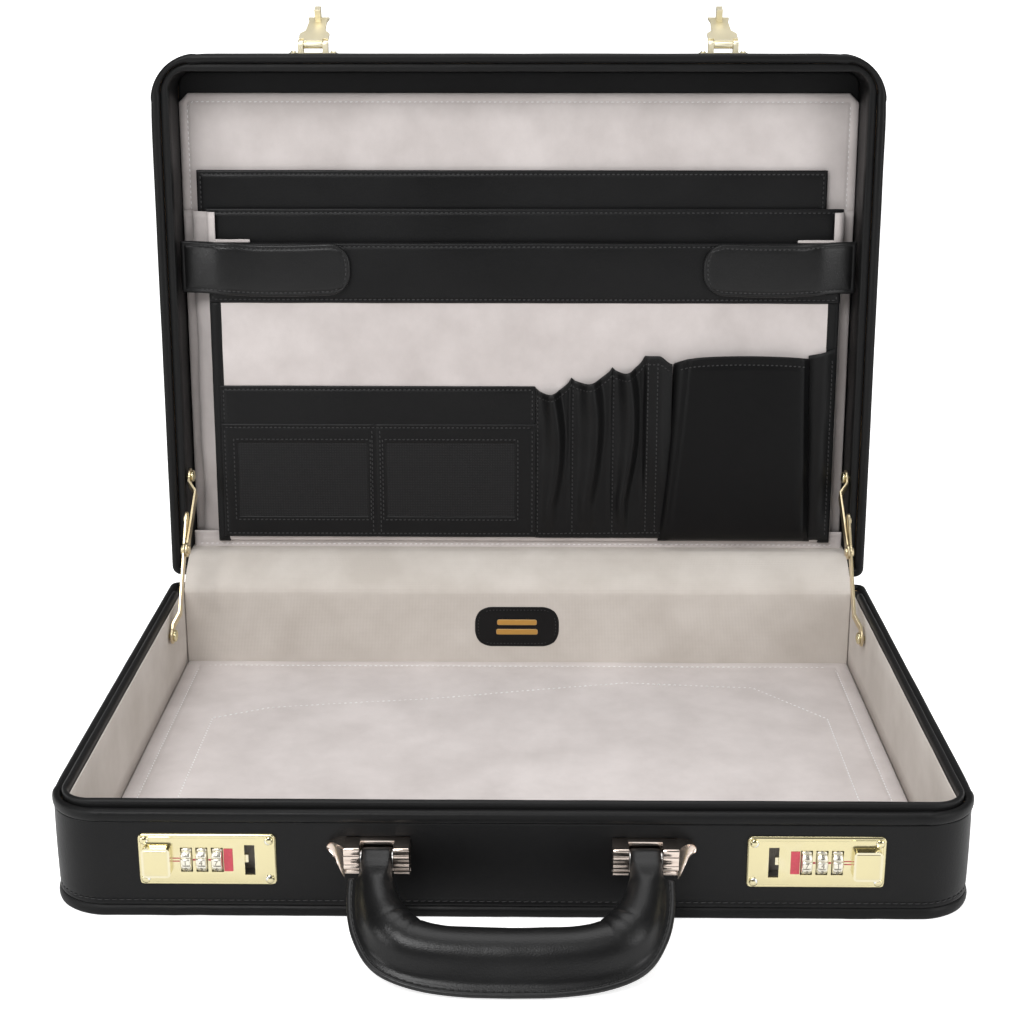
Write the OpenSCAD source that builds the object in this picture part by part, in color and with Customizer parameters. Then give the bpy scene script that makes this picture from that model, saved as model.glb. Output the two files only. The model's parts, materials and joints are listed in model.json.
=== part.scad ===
// Hard-sided attache case in leather, standing open on its base.
// Frame: +X to the right of someone facing the locks, +Y towards the hinge, +Z up.
// The origin is the centre of the underside. All lengths are in millimetres.

/* [Case] */
// Outside width of the case, left to right
case_w = 457; // [440:1:480]
// Outside depth of the case, handle side to hinge side
case_d = 335; // [320:1:350]
// Height of the base, from its underside to the parting line
base_h = 57; // [55:0.5:62]
// Depth of the lid behind the parting line
lid_h = 42; // [41:0.5:48]
// Angle of the open lid, counted from closed
lid_open = 93; // [85:1:95]
// Outside radius of the two corners on the handle side
front_r = 30; // [24:1:36]
// How much faster than the inset the handle side's corners tighten towards the inside
corner_taper = 1.8; // [1:0.05:1.9]
// Outside radius of the two corners on the hinge side
rear_r = 6; // [4:0.5:8]

/* [Shell] */
// How far the welts and beads stand proud of the leather face
welt_proud = 1; // [0.6:0.1:1.4]
// Thickness of the outer leather
leather_t = 1.2; // [1:0.1:1.4]
// Thickness of the wooden wall boards
board_t = 7.6; // [7.6:0.1:8.4]
// Thickness of the bottom and top panels
panel_t = 3; // [2.4:0.2:3.4]
// Height of the raised lip above the parting line
tongue_rise = 3; // [2:0.2:3]
// Clear gap between neighbouring pieces
gap = 0.1; // [0.05:0.01:0.12]

/* [Hinge and stays] */
// Distance of the hinge axis behind the rear face
hinge_out = 2.5; // [2.5:0.1:3]
// Length of the piano hinge
hinge_len = 410; // [390:10:420]
// Number of knuckles of the piano hinge
hinge_knuckles = 21; // [11:2:31]
// Length of the lower stay arm between its pivots
lower_arm = 56.5; // [55:0.1:58]
// Length of the upper stay arm between its pivots
upper_arm = 61.2; // [60.8:0.1:63]
// Length of the lower stay arm beyond the elbow
arm_tail = 22; // [14:1:24]

/* [Handle] */
// Distance from the middle of the case to the middle of each handle leg
leg_x = 64.5; // [60:0.5:70]
// Height of the handle pivots above the underside
handle_z = 36; // [35:0.5:38]
// Angle of the handle below level
handle_drop = 27; // [10:1:30]
// Distance from the pivots to the middle of the grip
grip_reach = 51.5; // [50:0.5:56]
// Radius of the grip
grip_r = 11.5; // [10:0.5:11.5]
// Radius of the handle legs
leg_r = 8; // [7:0.2:8]

/* [Locks] */
// Distance from the middle of the case to the middle of each hasp slot
lock_x = 127; // [124:0.5:130]
// Height of the locks above the underside
lock_z = 31.5; // [30:0.5:33]
// Radius of a number dial
dial_r = 6.8; // [6.4:0.1:6.8]
// Angle through which an open hasp has turned from latched
hasp_open = 158; // [140:1:160]

/* [Hidden] */

$fn = 48;
leather_black = [0.13, 0.13, 0.13];
bead_black = [0.09, 0.09, 0.09];
suede = [0.78, 0.74, 0.72];
cloth = [0.70, 0.66, 0.61];
wood = [0.72, 0.58, 0.40];
brass = [0.86, 0.78, 0.52];
rose = [0.78, 0.66, 0.58];
steel = [0.70, 0.70, 0.72];
silver = [0.88, 0.88, 0.88];
red = [0.80, 0.32, 0.38];

hw = case_w / 2;
hd = case_d / 2;
arc_steps = 8;

// Insets of the wall's layers, counted inwards from the outermost outline
face_in = welt_proud;
leather_in = face_in + leather_t;
board_out = leather_in + gap;
board_in = board_out + board_t;
lining_out = board_in + gap;
lining_in = lining_out + 0.9;
lip_split = 5.95;

// Heights of the base's layers
skin_top = leather_t;
board_bottom = leather_t + gap;
floor_board_top = board_bottom + panel_t;
pad_top = floor_board_top + 2.2;
board_top = base_h - 3;
bead_h = 6;
welt_h = 6;

// Hinge axis, and depths in the lid counted from it
hinge_y = hd + hinge_out;
hinge_z = base_h + 0.25;
rim_t = 0.25;
lid_top_t = rim_t + lid_h;
lid_board_t0 = rim_t + bead_h;
lid_board_t1 = lid_top_t - leather_t - gap;
lid_panel_t0 = lid_board_t1 - panel_t;
lid_lining_t = lid_panel_t0 - gap;
suede_t1 = lid_lining_t - 1;
suede_t0 = suede_t1 - 2.4;
knuckle_r = 2.2;
hinge_pin_r = 1;
leaf_t = 1;
leaf_half = hinge_len / 2;
hinge_clear = leaf_half + 2;

// The padded flap that covers the hinge from inside
flap_t = 2.5;
flap_half = hw - lining_in - 2;

// Stay pivots relative to the hinge axis, as [towards the back, up] and [depth, height] in the lid
stay_a = [-70, -13];
stay_b = [10, 68];
lean = lid_open - 90;
stay_b_open = [stay_b[0] * cos(lean) + stay_b[1] * sin(lean), stay_b[1] * cos(lean) - stay_b[0] * sin(lean)];
stay_span = norm(stay_b_open - stay_a);
stay_bearing = atan2(stay_b_open[1] - stay_a[1], stay_b_open[0] - stay_a[0]);
lower_angle = stay_bearing + acos((stay_span ^ 2 + lower_arm ^ 2 - upper_arm ^ 2) / (2 * stay_span * lower_arm));
elbow = stay_a + lower_arm * [cos(lower_angle), sin(lower_angle)];
upper_angle = atan2(elbow[1] - stay_b_open[1], elbow[0] - stay_b_open[0]);
arm_t = 1.4;
arm_w = 7;
pivot_layer = hw - lining_in - 3;
lower_layer = pivot_layer - 3.6;
upper_layer = lower_layer - 1.7;
rivet_r = 1.5;
running = 0.05;

// Locks
plate_t = 1.3;
plate_back = -hd + face_in - gap;
plate_front = plate_back - plate_t;
plate_half_h = 13.75;
plate_x0 = lock_x - 13;
plate_x1 = lock_x + 54.4;
dial_x = [lock_x + 15.8, lock_x + 23.3, lock_x + 30.8];
dial_w = 5.2;
dial_proud = 3.5;
dial_y = plate_front - dial_proud + dial_r;
axle_r = 1.2;
carrier_x0 = plate_x0 + 3;
carrier_x1 = plate_x1 - 3;
carrier_half_h = 10.7;
carrier_back = -hd + board_in - gap;
slider_x = lock_x + 45;
slider_travel = 2.5;
stem_half = 2;
slot_half_w = 2.5;
slot_half_h = 8;
bolt_y = plate_back + 0.2;

// Hasps, in the lid's frame: distance out from the outermost outline and depth
hasp_out = 5;
hasp_t = 9.5;
hasp_u = hinge_y + hd + hasp_out;
hasp_pin_r = 1;
hasp_barrel_r = 2.2;
hasp_reach = hinge_z + hasp_t - lock_z;

// Handle
pivot_y = -hd - 7;
handle_pin_r = 1.6;
lobe_in = leg_x - 8.1;
lobe_out = leg_x + 8.1;
lobe_w = 7.6;
corner_r = 22;
flange_t = 2.4;

// Document file in the lid, as [left, right, depth front, depth back, bottom, top]
file_rear = [-207, 198.5, 29.5, 31.3, 24, 265];
file_middle = [-201.5, 209, 24.5, 26.3, 24, 241];
file_front = [-199.5, 207.5, 17.5, 20, 22, 220];
strap_u = 204.5;
strap_w = 33;
strap_left_len = 109;
strap_right_len = 97.5;
strap_t0 = 11;
strap_t1 = 13;

// ---- Shapes that repeat ----

function arc(cx, cy, r, a0, a1) =
    [for (i = [0:arc_steps]) let (a = a0 + (a1 - a0) * i / arc_steps) [cx + r * cos(a), cy + r * sin(a)]];

function plan(inset) =
    let (w = hw - inset, d = hd - inset, rf = max(front_r - corner_taper * inset, 1),
         rr = max(rear_r - inset, 0.6))
    concat(
        arc(-w + rf, -d + rf, rf, 180, 270),
        arc(w - rf, -d + rf, rf, 270, 360),
        arc(w - rr, d - rr, rr, 0, 90),
        arc(-w + rr, d - rr, rr, 90, 180)
    );

function rounded(w, h, r) =
    concat(
        arc(-w / 2 + r, -h / 2 + r, r, 180, 270),
        arc(w / 2 - r, -h / 2 + r, r, 270, 360),
        arc(w / 2 - r, h / 2 - r, r, 0, 90),
        arc(-w / 2 + r, h / 2 - r, r, 90, 180)
    );

// A slab of the case's plan, drawn in by an inset
module slab(inset, z0, z1) {
    translate([0, 0, z0]) linear_extrude(z1 - z0) polygon(plan(inset));
}

// A wall that follows the case's plan between two insets
module band(outer, inner, z0, z1) {
    difference() {
        slab(outer, z0, z1);
        slab(inner, z0 - 1, z1 + 1);
    }
}

// A box given by its two corners
module box(x0, x1, y0, y1, z0, z1) {
    translate([x0, y0, z0]) cube([x1 - x0, y1 - y0, z1 - z0]);
}

// A cylinder along X between two stations
module rod_x(x0, x1, y, z, r) {
    translate([x0, y, z]) rotate([0, 90, 0]) cylinder(h = x1 - x0, r = r);
}

// A cylinder along Y between two stations
module rod_y(x, y0, y1, z, r) {
    translate([x, y1, z]) rotate([90, 0, 0]) cylinder(h = y1 - y0, r = r);
}

// The same thing on both sides of the case
module both_sides() {
    children();
    mirror([1, 0, 0]) children();
}

// The space behind the parting line near the hinge, where rings are left open
module rear_gap(half, depth, z0, z1) {
    box(-half, half, hd - depth, hd + 5, z0, z1);
}

// Places what is drawn as [x, depth, height] in the open lid
module in_lid() {
    translate([0, hinge_y, hinge_z]) rotate([-lean, 0, 0]) children();
}

// Places what is drawn in the case's plan, with depth upwards from the hinge, in the open lid
module lid_plan() {
    in_lid() rotate([-90, 0, 0]) translate([0, -hinge_y, 0]) children();
}

// Wall boards and corner blocks, each a separate solid, with a pocket for the hinge leaf
module wall_boards(z0, z1, pocket0, pocket1) {
    fx = hw - front_r;
    fy = -hd + front_r;
    side = hw - board_in - 1;
    difference() {
        band(board_out, board_in, z0, z1);
        both_sides() {
            box(fx - gap / 2, fx + gap / 2, -hd, fy, z0 - 1, z1 + 1);
            box(side - 5, hw, fy - gap / 2, fy + gap / 2, z0 - 1, z1 + 1);
            box(hw - board_in - gap, hw - board_in, hd - 20, hd, z0 - 1, z1 + 1);
        }
        rear_gap(leaf_half + 0.5, board_out + leaf_t + 0.1, pocket0, pocket1);
    }
}

// ---- Base ----

module lock_cutouts() {
    both_sides()
        box(carrier_x0 - gap, carrier_x1 + gap, -hd - 1, -hd + board_in + 1,
            lock_z - carrier_half_h - gap, lock_z + carrier_half_h + gap);
}

module front_rivet_holes() {
    both_sides()
        for (x = [leg_x - 12, leg_x + 12])
            rod_y(x, -hd - 1, -hd + board_out + 4, handle_z - 6.2, rivet_r + running);
}

module base_boards() {
    color(wood) {
        difference() {
            wall_boards(board_bottom, board_top, base_h - 24, board_top + 1);
            lock_cutouts();
            front_rivet_holes();
            both_sides()
                rod_x(hw - board_in - 1, hw - board_in + 4.2, hinge_y + stay_a[0], hinge_z + stay_a[1],
                      rivet_r + running);
        }
        slab(lining_out, board_bottom, floor_board_top);
    }
}

module base_leather() {
    color(leather_black) {
        difference() {
            union() {
                band(face_in, leather_in, welt_h + gap, base_h - bead_h - gap);
                intersection() {
                    band(face_in, leather_in, base_h - bead_h - 1, base_h - 2.8);
                    rear_gap(hinge_clear - gap, 4, 0, base_h);
                }
            }
            lock_cutouts();
            front_rivet_holes();
        }
        slab(board_out, 0, skin_top);
    }
}

module base_welt() {
    color(bead_black) band(0, leather_in, 0, welt_h);
}

module base_rim_bead() {
    color(bead_black)
        difference() {
            union() {
                band(0, leather_in, base_h - bead_h, base_h);
                band(0, lip_split - gap / 2, board_top + gap, base_h);
            }
            rear_gap(hinge_clear, 12, base_h - bead_h - 1, base_h + 1);
        }
}

module base_tongue() {
    color(bead_black)
        difference() {
            band(lip_split + gap / 2, board_in, board_top + gap, base_h + tongue_rise);
            rear_gap(hw, 28, board_top, base_h + tongue_rise + 1);
        }
}

module base_side_lining() {
    color(cloth)
        difference() {
            band(lining_out, lining_in, floor_board_top + gap, base_h - 1);
            rear_gap(flap_half + gap, 25, 0, base_h);
            both_sides()
                rod_x(hw - board_in - 3, hw, hinge_y + stay_a[0], hinge_z + stay_a[1], rivet_r + running);
        }
}

module base_floor_pad() {
    color(suede)
        difference() {
            slab(lining_in + 0.2, floor_board_top + gap, pad_top);
            rear_gap(hw, lining_out + flap_t + 0.3, 0, base_h);
        }
}

module hinge_flap_base() {
    color(cloth)
        box(-flap_half, flap_half, hd - lining_out - flap_t, hd - lining_out,
            floor_board_top + gap, board_top - 0.3);
}

module label_patch() {
    color(leather_black)
        translate([0, hd - lining_out - flap_t - gap, (pad_top + board_top) / 2 + 1])
            rotate([90, 0, 0]) linear_extrude(1.2) polygon(rounded(56, 28.5, 12));
}

module base_rivets() {
    color(silver) {
        both_sides() {
            for (x = [plate_x0 + 3.4, plate_x1 - 3.4], dz = [-1, 1] * (plate_half_h - 3.4))
                lock_rivet(x, lock_z + dz);
            for (x = [leg_x - 12, leg_x + 12])
                rod_y(x, plate_front - 0.6, -hd + board_out + 3, handle_z - 6.2, rivet_r);
            stay_rivet(hinge_y + stay_a[0], hinge_z + stay_a[1]);
        }
    }
}

// A domed lock rivet that ends short of the carrier behind the plate
module lock_rivet(x, z) {
    intersection() {
        translate([x, plate_front + 1.6, z]) sphere(r = 3);
        rod_y(x, plate_front - 2, plate_front - gap / 2, z, 2.1);
    }
    rod_y(x, plate_front - gap, plate_back, z, 0.8);
}

// A rivet with its head on the inner side of an arm's pivot end and its shank in the wall
module stay_rivet(y, z) {
    rod_x(pivot_layer - 1.2, pivot_layer - gap, y, z, 3.4);
    rod_x(pivot_layer - gap - 0.01, hw - board_in + 4, y, z, rivet_r);
}

// ---- Piano hinge ----

function knuckle_pitch() = hinge_len / hinge_knuckles;

// The knuckles that belong to one leaf, drawn round the origin
module knuckles(first) {
    for (i = [first:2:hinge_knuckles - 1])
        rod_x(-leaf_half + i * knuckle_pitch() + gap, -leaf_half + (i + 1) * knuckle_pitch() - gap, 0, 0, knuckle_r);
}

// The strips that carry those knuckles: depth runs down from the axis
module knuckle_tabs(first) {
    for (i = [first:2:hinge_knuckles - 1])
        box(-leaf_half + i * knuckle_pitch() + gap, -leaf_half + (i + 1) * knuckle_pitch() - gap,
            -hinge_out - 0.2, 0, -2.75, -1.75);
}

// One leaf: let into the wall, bent out over the leather, and rolled round the pin
module hinge_leaf(first, depth) {
    y_in = -hinge_out - board_out - leaf_t;
    difference() {
        union() {
            box(-leaf_half, leaf_half, y_in, y_in + leaf_t, -depth, -1.75);
            box(-leaf_half, leaf_half, y_in, -knuckle_r - 0.15, -2.75, -1.75);
            knuckle_tabs(first);
            knuckles(first);
        }
        rod_x(-leaf_half - 1, leaf_half + 1, 0, 0, hinge_pin_r + running);
    }
}

module hinge_leaf_base() {
    color(brass) translate([0, hinge_y, hinge_z]) hinge_leaf(0, 22);
}

module hinge_leaf_lid() {
    color(brass) lid_plan() translate([0, hinge_y, 0]) mirror([0, 0, 1]) hinge_leaf(1, 22);
}

module hinge_pin() {
    color(steel) rod_x(-leaf_half, leaf_half, hinge_y, hinge_z, hinge_pin_r);
}

// A stud on the spine that the closed case stands on
module spine_foot(x, z) {
    rod_y(x, hd - face_in + gap, hd - face_in + 1.6, z, 6);
    rod_y(x, hd - face_in + 1.5, hd - face_in + 2.8, z, 4.5);
}

module spine_feet_base() {
    color(brass) both_sides() spine_foot(case_w * 0.36, 20);
}

module spine_feet_lid() {
    color(brass) lid_plan() both_sides() spine_foot(case_w * 0.36, 24);
}

// ---- Locks, drawn on the right-hand side ----

module lock_plate() {
    xc = (plate_x0 + plate_x1) / 2;
    difference() {
        translate([xc, plate_back, lock_z]) rotate([90, 0, 0])
            linear_extrude(plate_t) polygon(rounded(plate_x1 - plate_x0, 2 * plate_half_h, 2.5));
        box(lock_x - slot_half_w, lock_x + slot_half_w, -hd - 5, -hd + 5,
            lock_z - slot_half_h, lock_z + slot_half_h);
        for (x = dial_x)
            box(x - dial_w / 2 - 0.3, x + dial_w / 2 + 0.3, -hd - 5, -hd + 5, lock_z - 6.5, lock_z + 6.5);
        box(slider_x - stem_half - 0.5, slider_x + stem_half + 0.5 + slider_travel, -hd - 5, -hd + 5,
            lock_z - 2.3, lock_z + 2.3);
        for (x = [plate_x0 + 3.4, plate_x1 - 3.4], dz = [-1, 1] * (plate_half_h - 3.4))
            rod_y(x, -hd - 5, -hd + 5, lock_z + dz, 0.8 + running);
    }
}

module lock_plate_right() { color(brass) lock_plate(); }
module lock_plate_left() { color(brass) mirror([1, 0, 0]) lock_plate(); }

// A steel box let into the front board, with two cheeks that hold the dial axle
module lock_carrier() {
    wall = 1;
    cheek_x = [dial_x[0] - dial_w / 2 - 1.3, dial_x[2] + dial_w / 2 + 0.5];
    difference() {
        box(carrier_x0, carrier_x1, plate_back + gap, carrier_back,
            lock_z - carrier_half_h, lock_z + carrier_half_h);
        box(carrier_x0 + wall, carrier_x1 - wall, -hd - 5, -hd + board_in + 5,
            lock_z - carrier_half_h + wall, lock_z + carrier_half_h - wall);
    }
    difference() {
        for (x = cheek_x)
            box(x, x + 0.8, plate_back + 0.3, carrier_back, lock_z - 6.2, lock_z + carrier_half_h - wall / 2);
        rod_x(carrier_x0, carrier_x1, dial_y, lock_z, axle_r + running);
    }
}

module lock_carriers() { color(steel) both_sides() lock_carrier(); }

module dial_axles() {
    color(steel) both_sides()
        rod_x(dial_x[0] - dial_w / 2 - 1.6, dial_x[2] + dial_w / 2 + 1.6, dial_y, lock_z, axle_r);
}

// A number dial with ten finger notches
module dial(i) {
    translate([dial_x[i], dial_y, lock_z]) rotate([0, 90, 0])
        difference() {
            cylinder(h = dial_w, r = dial_r, center = true);
            cylinder(h = dial_w + 1, r = axle_r + running, center = true);
            for (k = [0:9])
                rotate([0, 0, 36 * k + 18])
                    translate([dial_r + 0.35, 0, 0]) cylinder(h = dial_w + 1, r = 0.8, center = true);
        }
}

module dial_right_1() { color(brass) dial(0); }
module dial_right_2() { color(brass) dial(1); }
module dial_right_3() { color(brass) dial(2); }
module dial_left_1() { color(brass) mirror([1, 0, 0]) dial(0); }
module dial_left_2() { color(brass) mirror([1, 0, 0]) dial(1); }
module dial_left_3() { color(brass) mirror([1, 0, 0]) dial(2); }

module index_flags() {
    color(red) both_sides()
        box(dial_x[0] - 7.6, dial_x[0] - 3.2, plate_front - 0.4, plate_front - gap / 2, lock_z - 6, lock_z + 6);
}

// The button outside, and the bolt behind the plate that runs under the dials to the hasp slot
module lock_slider() {
    z_low = lock_z - 9.4;
    y1 = bolt_y + 2;
    translate([slider_x, plate_front - gap, lock_z]) rotate([90, 0, 0])
        linear_extrude(4.2) polygon(rounded(13.8, 15.5, 2));
    box(slider_x - stem_half, slider_x + stem_half, plate_front - 0.2, y1, lock_z - 2, lock_z + 2);
    box(slider_x - stem_half, slider_x + stem_half, bolt_y, y1, z_low, lock_z + 2);
    box(lock_x + 3.6, slider_x + stem_half, bolt_y, y1, z_low, z_low + 2.2);
    box(lock_x + 3.6, lock_x + 6.4, bolt_y, y1, z_low, lock_z + 2);
    box(lock_x + 0.9, lock_x + 3.7, bolt_y, y1, lock_z - 2, lock_z + 2);
}

module lock_slider_right() { color(brass) lock_slider(); }
module lock_slider_left() { color(brass) mirror([1, 0, 0]) lock_slider(); }

// A bent strip spring that draws the bolt towards the hasp slot, between a cheek and the bolt's stem
module bolt_spring() {
    x0 = dial_x[2] + dial_w / 2 + 1.4;
    x1 = slider_x - stem_half - gap;
    folds = 6;
    strip = 1.6;
    step = (x1 - x0) / folds;
    translate([0, bolt_y + 2, lock_z - 4]) rotate([90, 0, 0]) linear_extrude(1.8)
        polygon(concat(
            [for (i = [0:folds]) [x0 + i * step, (i % 2) * 6]],
            [for (i = [folds:-1:0]) [x0 + i * step, (i % 2) * 6 + strip]]
        ));
}

module bolt_springs() { color(steel) both_sides() bolt_spring(); }

// ---- Handle ----

// Two pivot lobes and a thumb-shaped wing on one plate
module handle_bracket() {
    wing_x = lobe_out + lobe_w;
    top = handle_z + 8;
    low = handle_z - 10;
    difference() {
        union() {
            box(lobe_in - lobe_w, wing_x, plate_front, plate_back, low, top);
            for (x = [lobe_in - lobe_w, lobe_out]) {
                rod_x(x, x + lobe_w, pivot_y, handle_z, 5.2);
                rod_x(x, x + lobe_w, pivot_y + 2.6, handle_z - 5.6, 4.2);
                box(x, x + lobe_w, pivot_y, plate_back - 0.5, handle_z - 5.2, top);
            }
            box(lobe_in - lobe_w, wing_x, pivot_y + 3.2, plate_back, top - 2, top);
            intersection() {
                rod_x(wing_x - 0.1, wing_x + 9, plate_back - 0.6, handle_z + 1, 7.2);
                box(wing_x - 1, wing_x + 9, pivot_y, plate_back, low, top);
                translate([wing_x, pivot_y - 2, handle_z + 2])
                    rotate([90, 0, 0]) cylinder(h = 20, r = 9, center = true);
            }
        }
        rod_x(lobe_in - lobe_w - 1, wing_x - 1.5, pivot_y, handle_z, handle_pin_r + running);
        rod_x(wing_x + 1.5, wing_x + 12, pivot_y - 0.6, handle_z + 5.5, 5.4);
        for (x = [leg_x - 12, leg_x + 12])
            rod_y(x, -hd - 20, -hd + 5, handle_z - 6.2, rivet_r + running);
    }
}

module handle_bracket_right() { color(rose) handle_bracket(); }
module handle_bracket_left() { color(rose) mirror([1, 0, 0]) handle_bracket(); }

module handle_pins() {
    color(steel) both_sides()
        rod_x(lobe_in - lobe_w + 0.5, lobe_out + lobe_w - 2, pivot_y, handle_z, handle_pin_r);
}

// Places what is drawn with the pivots on X and the handle along -Y
module at_handle() {
    translate([0, pivot_y, handle_z]) rotate([handle_drop, 0, 0]) children();
}

// A round bar along one leg, one corner and half the grip
module handle_path(r, start) {
    bend_y = -grip_reach + corner_r;
    rod_y(leg_x, bend_y, -start, 0, r);
    translate([leg_x - corner_r, bend_y, 0]) rotate([0, 0, -90])
        rotate_extrude(angle = 90) translate([corner_r, 0]) circle(r = r);
    rod_x(-0.01, leg_x - corner_r, -grip_reach, 0, r);
}

module handle_core() {
    color(steel) at_handle()
        difference() {
            both_sides() {
                handle_path(2.4, 3);
                rod_x(leg_x - 7.8, leg_x + 7.8, 0, 0, 4.3);
            }
            both_sides() rod_x(leg_x - 9, leg_x + 9, 0, 0, handle_pin_r + running);
        }
}

// The padded leather grip with its sewn flange
module handle_grip() {
    swell = leg_x - corner_r;
    rim = 45;
    rim_start = 10.6;
    rim_x = leg_x + leg_r + 3.3 - rim;
    rim_y = grip_reach - corner_r;
    color(leather_black) at_handle()
        difference() {
            both_sides() {
                handle_path(leg_r, 5.6);
                rod_x(0, swell - 10, -grip_reach, 0, grip_r);
                translate([swell - 10.01, -grip_reach, 0]) rotate([0, 90, 0])
                    cylinder(h = 10, r1 = grip_r, r2 = leg_r);
                translate([0, 0, -flange_t / 2]) linear_extrude(flange_t)
                    polygon(concat(
                        [[-0.01, -grip_reach], [swell, -grip_reach], [leg_x, -rim_y], [leg_x, -rim_start]],
                        [[rim_x + rim, -rim_start]],
                        [for (i = [0:arc_steps * 2]) let (a = 90 * i / (arc_steps * 2))
                            [rim_x + rim * cos(a), -rim_y - rim * sin(a)]],
                        [[-0.01, -rim_y - rim]]
                    ));
            }
            both_sides() handle_path(2.4 + gap, 3);
        }
}

// ---- Lid ----

module lid_boards() {
    color(wood) lid_plan() {
        difference() {
            wall_boards(lid_board_t0 + gap, lid_board_t1, lid_board_t0, 24);
            both_sides() {
                rod_x(hw - board_in - 1, hw - board_in + 4.2, hinge_y - stay_b[1], stay_b[0],
                      rivet_r + running);
                for (dx = [-12.4, 12.4])
                    rod_y(lock_x + dx, -hd - 1, -hd + board_out + 4, hasp_t, 1 + running);
            }
        }
        slab(lining_out, lid_panel_t0, lid_board_t1);
    }
}

module lid_leather() {
    color(leather_black) lid_plan() {
        difference() {
            band(face_in, leather_in, lid_board_t0 + gap, lid_top_t - welt_h - gap);
            both_sides() for (dx = [-12.4, 12.4])
                rod_y(lock_x + dx, -hd - 1, -hd + board_out + 4, hasp_t, 1 + running);
        }
        slab(board_out, lid_board_t1 + gap, lid_top_t);
    }
}

module lid_welt() {
    color(bead_black) lid_plan() band(0, leather_in, lid_top_t - welt_h, lid_top_t);
}

module lid_rim_bead() {
    color(bead_black) lid_plan()
        difference() {
            band(0, lip_split - gap / 2, rim_t, lid_board_t0);
            rear_gap(hinge_clear, 12, 0, lid_board_t0 + 1);
        }
}

// Black lining of the lid's walls and ceiling, with the ledge that the base's lip closes against
module lid_inner_lining() {
    ledge = rim_t + tongue_rise + 0.4;
    color(bead_black) lid_plan() {
        difference() {
            union() {
                slab(lining_out, ledge, lid_lining_t);
                band(lip_split + gap / 2, lining_out + 0.1, ledge, lid_board_t0 - gap);
            }
            slab(lining_in, ledge - 1, lid_lining_t - 0.9);
            rear_gap(flap_half + gap, 25, 0, lid_lining_t - 0.9);
            rear_gap(hinge_clear, 14, 0, lid_board_t0);
            both_sides()
                rod_x(hw - board_in - 3, hw, hinge_y - stay_b[1], stay_b[0], rivet_r + running);
        }
    }
}

// The sueded board that backs the document file, with two corners clipped
module lid_lining_panel() {
    half = hw - lining_in - 0.3;
    low = 2.5 + lining_out + flap_t + 0.3;
    high = hinge_y + hd - 24.4;
    cut = 6;
    color(suede) in_lid()
        translate([0, suede_t1, 0]) rotate([90, 0, 0]) linear_extrude(suede_t1 - suede_t0)
            polygon([[-half, low], [half, low], [half, high - cut], [half - cut, high],
                     [-half + cut, high], [-half, high - cut]]);
}

module hinge_flap_lid() {
    color(cloth) lid_plan()
        box(-flap_half, flap_half, hd - lining_out - flap_t, hd - lining_out,
            lid_board_t0 + gap, suede_t0 - 0.3);
}

// ---- Hasps, drawn in the lid's frame as [x, depth, height] ----

module hasp_flange() {
    wall_u = hinge_y + hd - face_in + gap;
    difference() {
        union() {
            translate([lock_x, hasp_t, wall_u])
                linear_extrude(1.4) polygon(rounded(30, 6.4, 3));
            both_sides_of(lock_x) {
                rod_x(6, 9.3, hasp_t, hasp_u, 2.9);
                box(6, 9.3, hasp_t - 2.9, hasp_t + 2.9, wall_u + 0.1, hasp_u);
            }
        }
        rod_x(lock_x - 20, lock_x + 20, hasp_t, hasp_u, hasp_pin_r + running);
        for (dx = [-12.4, 12.4])
            translate([lock_x + dx, hasp_t, wall_u - 1]) cylinder(h = 4, r = 1 + running);
    }
}

// The same thing on both sides of a station on X
module both_sides_of(x) {
    translate([x, 0, 0]) {
        children();
        mirror([1, 0, 0]) children();
    }
}

module hasp_flanges() { color(brass) in_lid() both_sides() hasp_flange(); }

module hasp_pins() {
    color(steel) in_lid() both_sides()
        rod_x(lock_x - 9.2, lock_x + 9.2, hasp_t, hasp_u, hasp_pin_r);
}

module lid_rivets() {
    wall_u = hinge_y + hd - face_in + gap;
    color(silver) in_lid() both_sides() {
        for (dx = [-12.4, 12.4])
            translate([lock_x + dx, hasp_t, wall_u]) {
                translate([0, 0, -3]) cylinder(h = 4.5, r = 1);
                translate([0, 0, 1.45]) cylinder(h = 0.9, r1 = 2, r2 = 1.2);
            }
        stay_rivet(stay_b[0], stay_b[1]);
    }
}

// A hasp drawn latched round its pin: the plate hangs along -Y and the finger points down
module hasp_body() {
    top = -hasp_out + 3.6;
    difference() {
        union() {
            rod_x(-5.8, 5.8, 0, 0, hasp_barrel_r);
            translate([0, 0, top - 1.6]) linear_extrude(1.6)
                polygon([[-5.8, 0], [5.8, 0], [5.8, -3.2], [9.3, -3.2], [9.3, -12], [6.2, -17],
                         [5.6, -hasp_reach + 3], [6.8, -hasp_reach - 4], [-6.8, -hasp_reach - 4],
                         [-5.6, -hasp_reach + 3], [-6.2, -17], [-9.3, -12], [-9.3, -3.2], [-5.8, -3.2]]);
            box(-1.9, 1.9, -hasp_reach - 3.4, -hasp_reach + 3.4, -hasp_out - 5.4, top - 1);
        }
        rod_x(-7, 7, 0, 0, hasp_pin_r + running);
        box(0.4, 3, -hasp_reach - 2.5, -hasp_reach + 2.5, -hasp_out - 3.5, -hasp_out - 0.4);
    }
}

module hasp() {
    in_lid() translate([lock_x, hasp_t, hasp_u]) rotate([-hasp_open, 0, 0]) hasp_body();
}

module hasp_right() { color(brass) hasp(); }
module hasp_left() { color(brass) mirror([1, 0, 0]) hasp(); }

// ---- Stays, drawn on the right-hand side ----

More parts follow.
